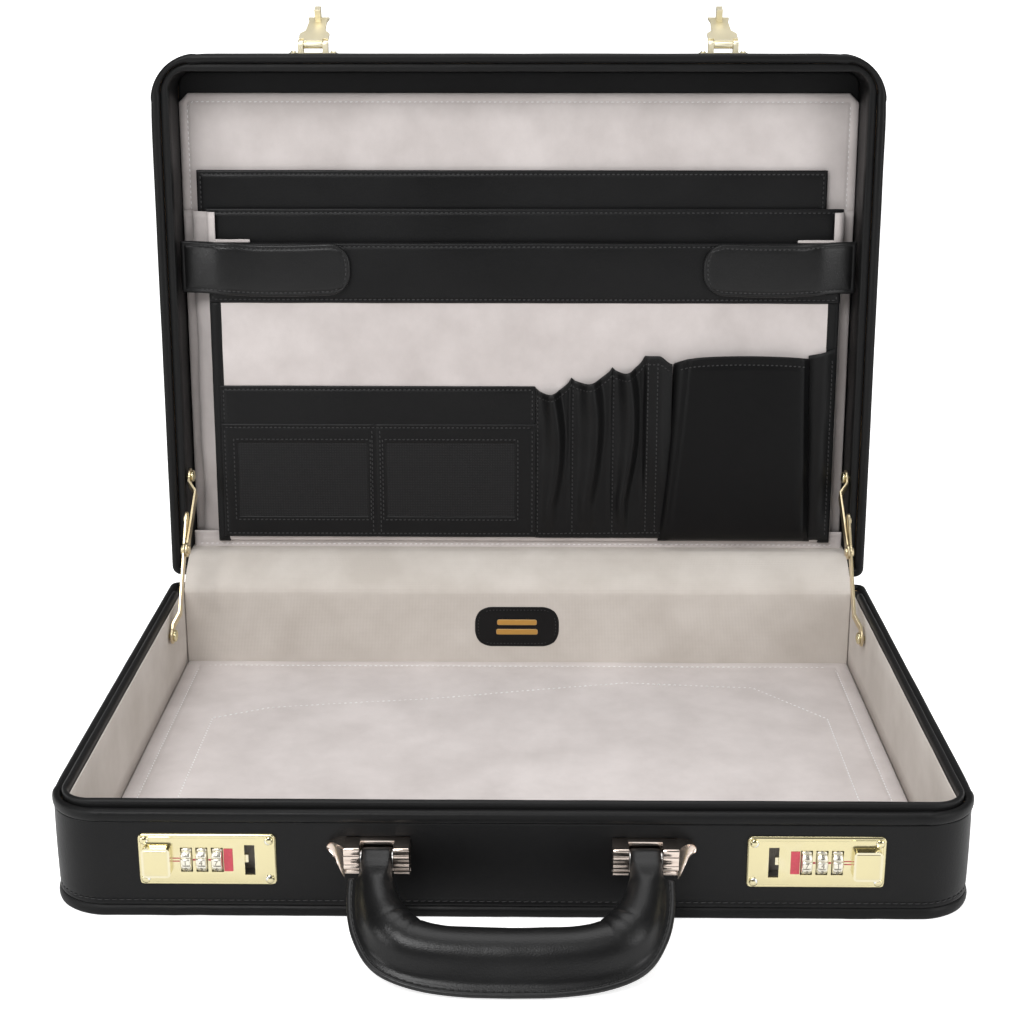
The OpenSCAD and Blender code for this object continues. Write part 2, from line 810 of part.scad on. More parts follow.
// A flat arm along +Y with its first pivot at the origin, joggled from one layer to another
module stay_arm(len, layer, tail) {
    jog0 = 7;
    jog1 = 15;
    p = pivot_layer;
    difference() {
        union() {
            rod_x(p, p + arm_t, 0, 0, 5);
            translate([0, 0, -arm_w / 2]) linear_extrude(arm_w)
                polygon([[p, 0], [p + arm_t, 0], [p + arm_t, jog0], [layer + arm_t, jog1],
                         [layer + arm_t, len + tail], [layer, len + tail], [layer, jog1 - 0.6], [p, jog0 - 0.6]]);
            rod_x(layer, layer + arm_t, len, 0, 4.6);
            rod_x(layer, layer + arm_t, len + tail, 0, arm_w / 2);
        }
        rod_x(p - 1, p + 3, 0, 0, rivet_r + running);
    }
}

module stay_lower() {
    translate([0, hinge_y + stay_a[0], hinge_z + stay_a[1]]) rotate([lower_angle, 0, 0]) {
        stay_arm(lower_arm, lower_layer, arm_tail);
        rod_x(lower_layer + arm_t - 0.1, lower_layer + arm_t + 1.1, lower_arm, 0, 2.8);
        rod_x(lower_layer + arm_t - 0.1, lower_layer + arm_t + 0.9, lower_arm + arm_tail - 1, 0, 1.8);
    }
}

module stay_upper() {
    translate([0, hinge_y + stay_b_open[0], hinge_z + stay_b_open[1]]) rotate([upper_angle, 0, 0]) {
        stay_arm(upper_arm, upper_layer, 0);
        rod_x(upper_layer - 1.1, upper_layer + 0.1, upper_arm, 0, 2.8);
    }
}

module stay_lower_right() { color(brass) stay_lower(); }
module stay_lower_left() { color(brass) mirror([1, 0, 0]) stay_lower(); }
module stay_upper_right() { color(brass) stay_upper(); }
module stay_upper_left() { color(brass) mirror([1, 0, 0]) stay_upper(); }

// ---- Document file, drawn in the lid's frame ----

module sheet(s) {
    box(s[0], s[1], s[2], s[3], s[4], s[5]);
}

module folio_rear() { color(leather_black) in_lid() sheet(file_rear); }
module folio_middle() { color(leather_black) in_lid() sheet(file_middle); }

module folio_front() {
    color(suede) in_lid() {
        sheet(file_front);
        box(file_front[0], file_front[1], 16, file_front[2] + 0.01, 181, file_front[5]);
    }
}

module file_gussets() {
    color(suede) in_lid()
        both_sides() box(210.2, 211.4, file_front[3] + 1, suede_t0 - 0.5, 24, 238);
}

// A flat pocket with two recessed card windows
module card_pocket() {
    color(leather_black) in_lid()
        difference() {
            box(-195, 12, 14.5, file_front[2] - gap, 25.5, 127);
            for (x = [-185.5, -88])
                box(x, x + 85, 14, 15.2, 38, 88);
        }
}

// Three pleated tubes, each a little taller than the one before
module pen_pockets() {
    pitch = 29;
    color(leather_black) in_lid()
        for (i = [0:2]) {
            h = 101 + 8 * i;
            translate([12.6 + pitch * (i + 0.5), file_front[2] - gap, 25])
                difference() {
                    intersection() {
                        cylinder(h = h, r = pitch / 2 - 0.3);
                        box(-pitch, pitch, -9.5, 0, 0, h);
                    }
                    intersection() {
                        translate([0, 0, 2]) cylinder(h = h, r = pitch / 2 - 1.8);
                        box(-pitch, pitch, -8, -1.4, 2, h + 1);
                    }
                }
        }
}

module pouch() {
    color(leather_black) in_lid() {
        translate([145, file_front[2] - gap, 23])
            linear_extrude(124)
                polygon(concat([[45, 0]], [[-45, 0]], arc(-35, -3, 8, 180, 250), arc(35, -3, 8, 290, 360)));
        box(190.6, 206, 12.5, file_front[2] - gap, 24, 150);
    }
}

module strap(strap_len) {
    x1 = hw - lining_in - 1.1;
    tip_r = 14;
    translate([x1, strap_t1, strap_u]) rotate([90, 0, 0]) linear_extrude(strap_t1 - strap_t0)
        polygon(concat(
            [[0, strap_w / 2]],
            arc(-strap_len + tip_r, strap_w / 2 - tip_r, tip_r, 90, 180),
            arc(-strap_len + tip_r, -strap_w / 2 + tip_r, tip_r, 180, 270),
            [[0, -strap_w / 2]]
        ));
}

module strap_right() { color(leather_black) in_lid() strap(strap_right_len); }
module strap_left() { color(leather_black) in_lid() mirror([1, 0, 0]) strap(strap_left_len); }

module snap_studs() {
    color(brass) in_lid()
        for (x = [-122, 133])
            rod_y(x, 14, 15.9, strap_u, 4.5);
}

base_boards();
base_leather();
base_welt();
base_rim_bead();
base_tongue();
base_side_lining();
base_floor_pad();
hinge_flap_base();
label_patch();
hinge_leaf_base();
hinge_pin();
spine_feet_base();
lock_plate_left();
lock_plate_right();
lock_carriers();
dial_axles();
index_flags();
bolt_springs();
base_rivets();
dial_left_1();
dial_left_2();
dial_left_3();
dial_right_1();
dial_right_2();
dial_right_3();
lock_slider_left();
lock_slider_right();
handle_bracket_left();
handle_bracket_right();
handle_pins();
handle_core();
handle_grip();
lid_boards();
lid_leather();
lid_welt();
lid_rim_bead();
lid_inner_lining();
lid_lining_panel();
hinge_flap_lid();
hinge_leaf_lid();
spine_feet_lid();
hasp_flanges();
hasp_pins();
lid_rivets();
file_gussets();
hasp_left();
hasp_right();
stay_lower_left();
stay_lower_right();
stay_upper_left();
stay_upper_right();
folio_rear();
folio_middle();
folio_front();
card_pocket();
pen_pockets();
pouch();
strap_left();
strap_right();
snap_studs();
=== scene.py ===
"""Looks for the open attache case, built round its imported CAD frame.

Builder functions work in millimetres. Two local frames are used besides the row frame:
- the plan, with x and y as in the row frame and z up, for the base and, through LID_PLAN, for the lid
- the lid's own frame (x, depth, height) through IN_LID, and PLATE(depth) for sheets that face the viewer
"""
import json
import math

import bmesh
import bpy
import numpy as np
from mathutils import Matrix, Vector, noise


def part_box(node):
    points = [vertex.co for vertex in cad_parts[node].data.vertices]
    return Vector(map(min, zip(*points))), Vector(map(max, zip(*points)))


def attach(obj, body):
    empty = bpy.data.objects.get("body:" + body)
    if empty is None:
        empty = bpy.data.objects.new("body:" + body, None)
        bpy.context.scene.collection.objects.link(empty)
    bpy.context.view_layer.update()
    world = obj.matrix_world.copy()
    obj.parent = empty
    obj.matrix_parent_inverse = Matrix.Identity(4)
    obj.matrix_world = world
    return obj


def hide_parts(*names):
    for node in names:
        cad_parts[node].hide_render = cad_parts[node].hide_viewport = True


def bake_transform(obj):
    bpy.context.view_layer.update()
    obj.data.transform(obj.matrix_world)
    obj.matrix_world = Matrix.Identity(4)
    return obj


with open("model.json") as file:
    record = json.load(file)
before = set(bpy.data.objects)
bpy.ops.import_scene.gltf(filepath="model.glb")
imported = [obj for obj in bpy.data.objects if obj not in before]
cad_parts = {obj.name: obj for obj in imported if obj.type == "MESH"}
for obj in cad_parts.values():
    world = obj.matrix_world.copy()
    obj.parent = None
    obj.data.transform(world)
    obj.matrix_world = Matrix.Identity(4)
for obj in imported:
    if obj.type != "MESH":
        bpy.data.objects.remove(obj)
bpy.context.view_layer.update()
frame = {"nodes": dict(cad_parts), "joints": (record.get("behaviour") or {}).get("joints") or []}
noise.seed_set(7)

MM = 0.001

# ---------------------------------------------------------------- sizes read from the frame

JOINTS = {j["name"]: j for j in frame["joints"]}
HINGE = Vector(JOINTS["lid_hinge"]["pos_m"]) / MM
LID_OPEN = -JOINTS["lid_hinge"]["range_deg"][0]
LEAN = LID_OPEN - 90
IN_LID = Matrix.Translation(HINGE) @ Matrix.Rotation(-math.radians(LEAN), 4, "X")
LID_PLAN = IN_LID @ Matrix.Rotation(-math.radians(90), 4, "X") @ Matrix.Translation((0, -HINGE.y, 0))


def base_box(node):
    """A node's corners in the row frame, in millimetres."""
    low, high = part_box(node)
    return low / MM, high / MM


def lid_box(node):
    """A node's corners in the lid's frame (x, depth, height), in millimetres."""
    back = IN_LID.inverted()
    points = np.array([back @ (v.co / MM) for v in frame["nodes"][node].data.vertices])
    return Vector(points.min(0)), Vector(points.max(0))


HW = base_box("base_welt")[1].x
HD = base_box("base_welt")[1].y
RIM_Z = base_box("base_rim_bead")[1].z
FLOOR_Z = base_box("base_floor_pad")[1].z
LID_T = lid_box("lid_welt")[1].y
HANDLE_DROP = 27.0
SUEDE_T = lid_box("lid_lining_panel")[0].y
FRONT_R = 30.0
REAR_R = 6.0
CORNER_TAPER = 1.8
WALL_IN = 10.9


def corner_r(inset):
    """Radius of the two front corners at an inset from the outermost plan."""
    return max(FRONT_R - CORNER_TAPER * inset, 1.0)


def PLATE(depth):
    """Local (x, y, h) becomes (x, depth - h, y) in the lid's frame, so h rises towards the viewer."""
    return IN_LID @ Matrix(((1, 0, 0, 0), (0, 0, -1, depth), (0, 1, 0, 0), (0, 0, 0, 1)))


# ---------------------------------------------------------------- mesh helpers


def wobble(co, amount, size, seed=0.0):
    """Smooth unevenness, as hand-laid leather has, added to an array of points."""
    out = np.array(co, float)
    for i, p in enumerate(out):
        q = Vector(p) / size + Vector((seed, seed * 0.7, seed * 1.3))
        out[i] += np.array(noise.noise_vector(q)) * amount
    return out


def piece(name, co, faces, material, body, stands=(), place=None, smooth=True, blend=None):
    """Makes one object from millimetre points and rides it on its body; with blend set, it is left unattached in the
    row frame.
    """
    mesh = bpy.data.meshes.new(name)
    mesh.from_pydata([tuple(p) for p in co], [], [tuple(f) for f in faces])
    m = (place or Matrix.Identity(4)).copy()
    mesh.transform(Matrix.Scale(MM, 4) @ m)
    bm = bmesh.new()
    bm.from_mesh(mesh)
    bmesh.ops.recalc_face_normals(bm, faces=bm.faces)
    bm.to_mesh(mesh)
    bm.free()
    if smooth:
        mesh.shade_smooth()
    mesh.materials.append(material)
    obj = bpy.data.objects.new(name, mesh)
    bpy.context.scene.collection.objects.link(obj)
    if blend:
        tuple(blend[1])
        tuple(blend[2])
        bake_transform(obj)
    else:
        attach(obj, body)
    for node in stands:
        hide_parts(node)
    return obj


def sharpen(obj, degrees=40):
    """Keeps edges crisp that turn by more than an angle."""
    obj.data.set_sharp_from_angle(angle=math.radians(degrees))
    return obj


def subdivide(obj, levels=1):
    m = obj.modifiers.new("round", "SUBSURF")
    m.levels = levels
    m.render_levels = levels
    return obj


def line_points(a, b, n, last=False):
    count = n + (1 if last else 0)
    return [(a[0] + (b[0] - a[0]) * i / n, a[1] + (b[1] - a[1]) * i / n) for i in range(count)]


def arc_points(cx, cy, r, a0, a1, n):
    return [(cx + r * math.cos(math.radians(a0 + (a1 - a0) * i / n)),
             cy + r * math.sin(math.radians(a0 + (a1 - a0) * i / n))) for i in range(n)]


def outline(inset, gap_half=0.0):
    """The case's plan drawn in by an inset, from the middle of the hinge side round by the left and back."""
    w, d = HW - inset, HD - inset
    rf, rr = corner_r(inset), max(REAR_R - inset, 0.6)
    pts = line_points((-gap_half, d), (-w + rr, d), 14)
    pts += arc_points(-w + rr, d - rr, rr, 90, 180, 8)
    pts += line_points((-w, d - rr), (-w, -d + rf), 40)
    pts += arc_points(-w + rf, -d + rf, rf, 180, 270, 24)
    pts += line_points((-w + rf, -d), (w - rf, -d), 60)
    pts += arc_points(w - rf, -d + rf, rf, 270, 360, 24)
    pts += line_points((w, -d + rf), (w, d - rr), 40)
    pts += arc_points(w - rr, d - rr, rr, 0, 90, 8)
    pts += line_points((w - rr, d), (gap_half, d), 14, last=gap_half > 0)
    return np.array(pts)


def mitre(n_points, depth, open_path):
    """Extra inset at the ends of the front corners, where the leather is folded."""
    starts = [14 + 8 + 40, 14 + 8 + 40 + 24, 14 + 8 + 40 + 24 + 60, 14 + 8 + 40 + 24 + 60 + 24]
    index = np.arange(n_points)
    return sum(depth * np.exp(-((index - s) / 0.9) ** 2) for s in starts)


def loft(profile, gap_half=0.0, fold=0.0):
    """Sweeps a closed profile of (inset, z) round the plan; open at the hinge when gap_half is set."""
    rings = []
    for inset, z in profile:
        ring = outline(inset, gap_half)
        if fold:
            extra = mitre(len(ring), fold, gap_half > 0)
            inner = outline(inset + 1.0, gap_half)
            ring = ring + (inner - ring) * extra[:, None]
        rings.append(np.column_stack([ring, np.full(len(ring), z)]))
    n, k = len(rings[0]), len(rings)
    co = np.vstack(rings)
    faces = []
    closed = gap_half == 0
    for a in range(k):
        b = (a + 1) % k
        for i in range(n if closed else n - 1):
            j = (i + 1) % n
            faces.append((a * n + i, a * n + j, b * n + j, b * n + i))
    if not closed:
        faces.append([a * n for a in range(k)])
        faces.append([a * n + n - 1 for a in reversed(range(k))])
    return co, faces


def axis_lines(a, b, edge=(0.0, 0.35, 0.8, 1.4, 2.1, 2.9, 3.8, 4.8, 6.0, 8.0), step=5.0):
    """Grid lines between two stations, close together near both ends."""
    span = b - a
    near = [e for e in edge if e < span / 2 - 0.3]
    inner = span - 2 * near[-1]
    n = max(1, int(round(inner / step)))
    mid = [near[-1] + inner * i / n for i in range(1, n)]
    offsets = near + mid + [span - e for e in reversed(near)]
    return np.array([a + o for o in offsets])


def corner_map(a, b, kind):
    """Maps a unit square's corner to a quarter disc or to a cut corner."""
    if kind == "cut":
        s = max(a, b) / (a + b) if a + b > 1e-9 else 1.0
        return a * s, b * s
    return a * math.sqrt(1 - b * b / 2), b * math.sqrt(1 - a * a / 2)


def panel(x0, x1, y0, y1, radii, height, back=0.0, kinds=("round",) * 4, step=5.0, edge=None):
    """A closed sheet. height(d, x, y) is the front's height at distance d from the edge.

    radii and kinds go round the corners: low x low y, high x low y, high x high y, low x high y.
    """
    args = {"step": step}
    if edge:
        args["edge"] = edge
    xs, ys = axis_lines(x0, x1, **args), axis_lines(y0, y1, **args)
    nx, ny = len(xs), len(ys)
    front, rear = [], []
    corners = [(x0, y0, 1, 1), (x1, y0, -1, 1), (x1, y1, -1, -1), (x0, y1, 1, -1)]
    for y in ys:
        for x in xs:
            d = min(x - x0, x1 - x, y - y0, y1 - y)
            px, py = x, y
            for (cx, cy, sx, sy), r, kind in zip(corners, radii, kinds):
                if r > 0 and (x - cx) * sx < r and (y - cy) * sy < r:
                    a, b = 1 - (x - cx) * sx / r, 1 - (y - cy) * sy / r
                    a, b = corner_map(a, b, kind)
                    px, py = cx + sx * r * (1 - a), cy + sy * r * (1 - b)
                    break
            front.append((px, py, height(d, px, py)))
            rear.append((px, py, back if not callable(back) else back(d, px, py)))
    faces = []
    total = nx * ny
    for j in range(ny - 1):
        for i in range(nx - 1):
            a = j * nx + i
            faces.append((a, a + 1, a + nx + 1, a + nx))
            faces.append((total + a, total + a + nx, total + a + nx + 1, total + a + 1))
    rim = [i for i in range(nx)] + [j * nx + nx - 1 for j in range(1, ny)]
    rim += [(ny - 1) * nx + i for i in range(nx - 2, -1, -1)] + [j * nx for j in range(ny - 2, 0, -1)]
    for a, b in zip(rim, rim[1:] + rim[:1]):
        faces.append((a, total + a, total + b, b))
    return front + rear, faces


def sheet_height(thick, seams=(), crown=0.0, soft=0.8, seam_depth=0.35, span=(1, 1, 0, 0)):
    """Front height of a sewn sheet: a rolled edge, dips along its seams and a slight crown."""
    cx, cy, sx, sy = span[2], span[3], span[0], span[1]

    def height(d, x, y):
        h = thick * (0.45 + 0.55 * (1 - math.exp(-d / soft)))
        for s in seams:
            h -= seam_depth * math.exp(-((d - s) / 0.55) ** 2)
        if crown:
            h += crown * max(0.0, 1 - ((x - cx) / sx) ** 2) * max(0.0, 1 - ((y - cy) / sy) ** 2)
        return h

    return height


def rounded_path(x0, x1, y0, y1, r, sides="brtl", step=1.0):
    """Points along a rounded rectangle, from the low corner anticlockwise; sides picks which are kept."""
    parts = {
        "b": line_points((x0 + r, y0), (x1 - r, y0), max(1, int((x1 - x0 - 2 * r) / step)), True),
        "r": line_points((x1, y0 + r), (x1, y1 - r), max(1, int((y1 - y0 - 2 * r) / step)), True),
        "t": line_points((x1 - r, y1), (x0 + r, y1), max(1, int((x1 - x0 - 2 * r) / step)), True),
        "l": line_points((x0, y1 - r), (x0, y0 + r), max(1, int((y1 - y0 - 2 * r) / step)), True),
    }
    bend = {
        "br": arc_points(x1 - r, y0 + r, r, 270, 360, 8), "rt": arc_points(x1 - r, y1 - r, r, 0, 90, 8),
        "tl": arc_points(x0 + r, y1 - r, r, 90, 180, 8), "lb": arc_points(x0 + r, y0 + r, r, 180, 270, 8),
    }
    pts = []
    for i, s in enumerate(sides):
        pts += parts[s]
        pair = s + sides[(i + 1) % len(sides)]
        if r > 0 and pair in bend and (i + 1 < len(sides) or len(sides) == 4):
            pts += bend[pair]
    if len(sides) == 4:
        pts.append(pts[0])
    return pts


def stitches(paths, pitch=3.0, length=2.0, width=0.55, slant=6.0):
    """Threads along paths of (point, up) pairs: one small closed capsule per stitch."""
    stations = ((-0.5, 0.45, -0.55), (-0.3, 0.95, 0.0), (0.3, 0.95, 0.0), (0.5, 0.45, -0.55))
    co, faces = [], []
    for path in paths:
        pts = np.array([p for p, _ in path], float)
        ups = np.array([u for _, u in path], float)
        steps = np.linalg.norm(np.diff(pts, axis=0), axis=1)
        reach = np.concatenate([[0], np.cumsum(steps)])
        count = max(1, int(reach[-1] / pitch))
        for k in range(count):
            s = (k + 0.5) * reach[-1] / count
            i = min(len(steps) - 1, max(0, int(np.searchsorted(reach, s) - 1)))
            f = (s - reach[i]) / max(steps[i], 1e-9)
            centre = pts[i] * (1 - f) + pts[i + 1] * f
            up = ups[i] / np.linalg.norm(ups[i])
            along = pts[i + 1] - pts[i]
            along = along / max(np.linalg.norm(along), 1e-9)
            side = np.cross(up, along)
            c, sn = math.cos(math.radians(slant)), math.sin(math.radians(slant))
            along, side = along * c + side * sn, side * c - along * sn
            first = len(co)
            for t, r, drop in stations:
                for q in range(6):
                    a = math.tau * q / 6
                    ring = side * math.cos(a) * r * width / 2 + up * math.sin(a) * r * width * 0.42
                    co.append(centre + along * t * length + ring + up * drop * width)
            for a in range(3):
                for q in range(6):
                    q2 = (q + 1) % 6
                    faces.append((first + a * 6 + q, first + a * 6 + q2,
                                  first + a * 6 + 6 + q2, first + a * 6 + 6 + q))
            faces.append([first + q for q in reversed(range(6))])
            faces.append([first + 18 + q for q in range(6)])
    return co, faces


def flat_path(points, z):
    """Turns plan points into a stitch path on a surface that faces up."""
    return [((x, y, z), (0, 0, 1)) for x, y in points]


# ---------------------------------------------------------------- materials


def new_material(name):
    mat = bpy.data.materials.new(name)
    mat.use_nodes = True
    tree = mat.node_tree
    bsdf = tree.nodes["Principled BSDF"]
    coords = tree.nodes.new("ShaderNodeTexCoord").outputs["Object"]
    return mat, tree, bsdf, coords


def noise_node(tree, coords, scale, detail=3.0, rough=0.5):
    n = tree.nodes.new("ShaderNodeTexNoise")
    n.inputs["Scale"].default_value = scale
    n.inputs["Detail"].default_value = detail
    n.inputs["Roughness"].default_value = rough
    tree.links.new(coords, n.inputs["Vector"])
    return n.outputs["Fac"]


def cells_node(tree, coords, scale, feature="F1"):
    n = tree.nodes.new("ShaderNodeTexVoronoi")
    n.feature = feature
    n.inputs["Scale"].default_value = scale
    tree.links.new(coords, n.inputs["Vector"])
    return n.outputs["Distance"]


def ramp(tree, value, low, high, a=0.0, b=1.0):
    """Maps a value between two numbers to a colour or a number range."""
    n = tree.nodes.new("ShaderNodeMapRange")
    n.inputs["From Min"].default_value = low
    n.inputs["From Max"].default_value = high
    n.inputs["To Min"].default_value = a
    n.inputs["To Max"].default_value = b
    tree.links.new(value, n.inputs["Value"])
    return n.outputs["Result"]


def mix_colour(tree, factor, a, b):
    n = tree.nodes.new("ShaderNodeMix")
    n.data_type = "RGBA"
    for socket, value in ((n.inputs["A"], a), (n.inputs["B"], b)):
        if isinstance(value, tuple):
            socket.default_value = (*value, 1)
        else:
            tree.links.new(value, socket)
    if isinstance(factor, float):
        n.inputs["Factor"].default_value = factor
    else:
        tree.links.new(factor, n.inputs["Factor"])
    return n.outputs["Result"]


def math_node(tree, kind, a, b):
    n = tree.nodes.new("ShaderNodeMath")
    n.operation = kind
    for socket, value in ((n.inputs[0], a), (n.inputs[1], b)):
        if isinstance(value, (int, float)):
            socket.default_value = value
        else:
            tree.links.new(value, socket)
    return n.outputs[0]


def bump(tree, bsdf, height, strength, distance):
    n = tree.nodes.new("ShaderNodeBump")
    n.inputs["Strength"].default_value = strength
    n.inputs["Distance"].default_value = distance
    tree.links.new(height, n.inputs["Height"])
    tree.links.new(n.outputs["Normal"], bsdf.inputs["Normal"])


def edge_wear(tree, radius=0.0012):
    """High on convex edges: it marks where a surface is rubbed and where a highlight is painted along the edge."""
    n = tree.nodes.new("ShaderNodeNewGeometry")
    return ramp(tree, n.outputs["Pointiness"], 0.52, 0.60)


def leather(name, colour, rub_and_highlight_colour, grain_scale=1100.0, grain=0.35, rough=(0.32, 0.46), shine_level=0.3):
    """Smooth full-grain leather: fine pebbles, soft creases, a slightly greyer edge that is partly rub and partly a
    painted highlight.
    """
    mat, tree, bsdf, coords = new_material(name)
    pebble = cells_node(tree, coords, grain_scale)
    pore = noise_node(tree, coords, grain_scale * 2.4, 2.0, 0.6)
    crease = noise_node(tree, coords, 55.0, 4.0, 0.65)
    patch = noise_node(tree, coords, 14.0, 3.0, 0.5)
    tone = mix_colour(tree, ramp(tree, patch, 0.3, 0.7), colour, tuple(c * 1.35 for c in colour))
    # Convex edges turn lighter: partly rubbed leather, partly a painted highlight along the rims.
    tone = mix_colour(tree, math_node(tree, "MULTIPLY", edge_wear(tree), 0.55), tone, rub_and_highlight_colour)
    tree.links.new(tone, bsdf.inputs["Base Color"])
    shine = math_node(tree, "ADD", ramp(tree, patch, 0.3, 0.7, *rough), ramp(tree, pore, 0.3, 0.7, -0.04, 0.04))
    tree.links.new(shine, bsdf.inputs["Roughness"])
    bsdf.inputs["Specular IOR Level"].default_value = shine_level
    height = math_node(tree, "ADD", math_node(tree, "MULTIPLY", pebble, grain),
                       math_node(tree, "ADD", math_node(tree, "MULTIPLY", pore, 0.25),
                                 math_node(tree, "MULTIPLY", crease, 0.9)))
    bump(tree, bsdf, height, 0.5, 0.00026)
    return mat


def textured_vinyl(name, colour):
    """Dark card-window material with a fine square emboss."""
    mat, tree, bsdf, coords = new_material(name)
    wave = []
    for axis in ("X", "Z"):
        n = tree.nodes.new("ShaderNodeTexWave")
        n.bands_direction = axis
        n.inputs["Scale"].default_value = 190.0
        tree.links.new(coords, n.inputs["Vector"])
        wave.append(n.outputs["Fac"])
    weave = math_node(tree, "MULTIPLY", wave[0], wave[1])
    patch = noise_node(tree, coords, 60.0, 2.0, 0.5)
    tone = mix_colour(tree, ramp(tree, weave, 0.1, 0.7), colour, tuple(c * 1.9 for c in colour))
    tree.links.new(tone, bsdf.inputs["Base Color"])
    tree.links.new(ramp(tree, patch, 0.3, 0.7, 0.42, 0.6), bsdf.inputs["Roughness"])
    bsdf.inputs["Specular IOR Level"].default_value = 0.25
    bump(tree, bsdf, weave, 0.5, 0.0003)
    return mat


def suede(name, colour, dark):
    """Brushed suede-cloth: cloudy nap, fine fibres, no shine."""
    mat, tree, bsdf, coords = new_material(name)
    cloud = noise_node(tree, coords, 26.0, 5.0, 0.62)
    streak = noise_node(tree, coords, 9.0, 3.0, 0.6)
    fibre = noise_node(tree, coords, 2600.0, 3.0, 0.7)
    nap = math_node(tree, "ADD", math_node(tree, "MULTIPLY", cloud, 0.7), math_node(tree, "MULTIPLY", streak, 0.3))
    tone = mix_colour(tree, ramp(tree, nap, 0.36, 0.64), dark, colour)
    tone = mix_colour(tree, ramp(tree, fibre, 0.3, 0.7, 0.0, 0.22), tone, dark)
    tree.links.new(tone, bsdf.inputs["Base Color"])
    bsdf.inputs["Roughness"].default_value = 0.92
    bsdf.inputs["Specular IOR Level"].default_value = 0.15
    bsdf.inputs["Sheen Weight"].default_value = 0.12
    bsdf.inputs["Sheen Roughness"].default_value = 0.5
    height = math_node(tree, "ADD", fibre, math_node(tree, "MULTIPLY", cloud, 0.8))
    bump(tree, bsdf, height, 0.35, 0.0004)
    return mat


def twill(name, colour, dark):
    """Fine woven lining cloth."""
    mat, tree, bsdf, coords = new_material(name)
    waves = []
    for axis in ("X", "Y", "Z"):
        n = tree.nodes.new("ShaderNodeTexWave")
        n.bands_direction = axis
        n.inputs["Scale"].default_value = 330.0
        n.inputs["Distortion"].default_value = 0.6
        tree.links.new(coords, n.inputs["Vector"])
        waves.append(n.outputs["Fac"])
    weave = math_node(tree, "ADD", waves[0], math_node(tree, "ADD", waves[1], waves[2]))
    cloud = noise_node(tree, coords, 22.0, 4.0, 0.6)
    tone = mix_colour(tree, ramp(tree, cloud, 0.33, 0.67), dark, colour)
    tone = mix_colour(tree, ramp(tree, weave, 0.6, 2.4, 0.0, 0.16), tone, dark)
    tree.links.new(tone, bsdf.inputs["Base Color"])
    bsdf.inputs["Roughness"].default_value = 0.85
    bsdf.inputs["Specular IOR Level"].default_value = 0.2
    bsdf.inputs["Sheen Weight"].default_value = 0.1
    bump(tree, bsdf, weave, 0.25, 0.0002)
    return mat


def metal(name, colour, rough, worn, brushed=None):
    """Plated metal with faint scratches, finger haze and paler edges, which are partly worn plating and partly a
    painted highlight.
    """
    mat, tree, bsdf, coords = new_material(name)
    bsdf.inputs["Metallic"].default_value = 1.0
    haze = noise_node(tree, coords, 60.0, 3.0, 0.5)
    if brushed:
        stretch = tree.nodes.new("ShaderNodeMapping")
        stretch.inputs["Scale"].default_value = brushed
        tree.links.new(coords, stretch.inputs["Vector"])
        scratch = noise_node(tree, stretch.outputs["Vector"], 900.0, 2.0, 0.5)
    else:
        scratch = noise_node(tree, coords, 1500.0, 2.0, 0.5)
    tone = mix_colour(tree, ramp(tree, haze, 0.3, 0.8, 0.0, 0.5), colour, worn)
    # Convex edges turn paler: partly worn plating, partly a painted highlight.
    tone = mix_colour(tree, math_node(tree, "MULTIPLY", edge_wear(tree), 0.3), tone, (0.95, 0.93, 0.88))
    tree.links.new(tone, bsdf.inputs["Base Color"])
    shine = math_node(tree, "ADD", ramp(tree, haze, 0.3, 0.75, rough, rough + 0.05),
                      ramp(tree, scratch, 0.4, 0.7, 0.0, 0.025))
    tree.links.new(shine, bsdf.inputs["Roughness"])
    bump(tree, bsdf, scratch, 0.02, 0.00001)
    return mat


def thread(name, colour):
    mat, tree, bsdf, coords = new_material(name)
    twist = noise_node(tree, coords, 3200.0, 2.0, 0.5)
    tone = mix_colour(tree, ramp(tree, twist, 0.3, 0.7), tuple(c * 0.7 for c in colour), colour)
    tree.links.new(tone, bsdf.inputs["Base Color"])
    bsdf.inputs["Roughness"].default_value = 0.55
    bump(tree, bsdf, twist, 0.4, 0.0002)
    return mat


def plastic(name, colour, rough):
    mat, tree, bsdf, coords = new_material(name)
    fine = noise_node(tree, coords, 900.0, 2.0, 0.5)
    tone = mix_colour(tree, ramp(tree, fine, 0.3, 0.7), tuple(c * 0.85 for c in colour), colour)
    tree.links.new(tone, bsdf.inputs["Base Color"])
    tree.links.new(ramp(tree, fine, 0.3, 0.7, rough, rough + 0.1), bsdf.inputs["Roughness"])
    bump(tree, bsdf, fine, 0.1, 0.0001)
    return mat


def wood(name):
    mat, tree, bsdf, coords = new_material(name)
    stretch = tree.nodes.new("ShaderNodeMapping")
    stretch.inputs["Scale"].default_value = (4.0, 60.0, 60.0)
    tree.links.new(coords, stretch.inputs["Vector"])
    grain = noise_node(tree, stretch.outputs["Vector"], 6.0, 6.0, 0.6)
    tone = mix_colour(tree, ramp(tree, grain, 0.3, 0.7), (0.44, 0.29, 0.16), (0.63, 0.46, 0.28))
    tree.links.new(tone, bsdf.inputs["Base Color"])
    bsdf.inputs["Roughness"].default_value = 0.7
    bump(tree, bsdf, grain, 0.3, 0.0003)
    return mat
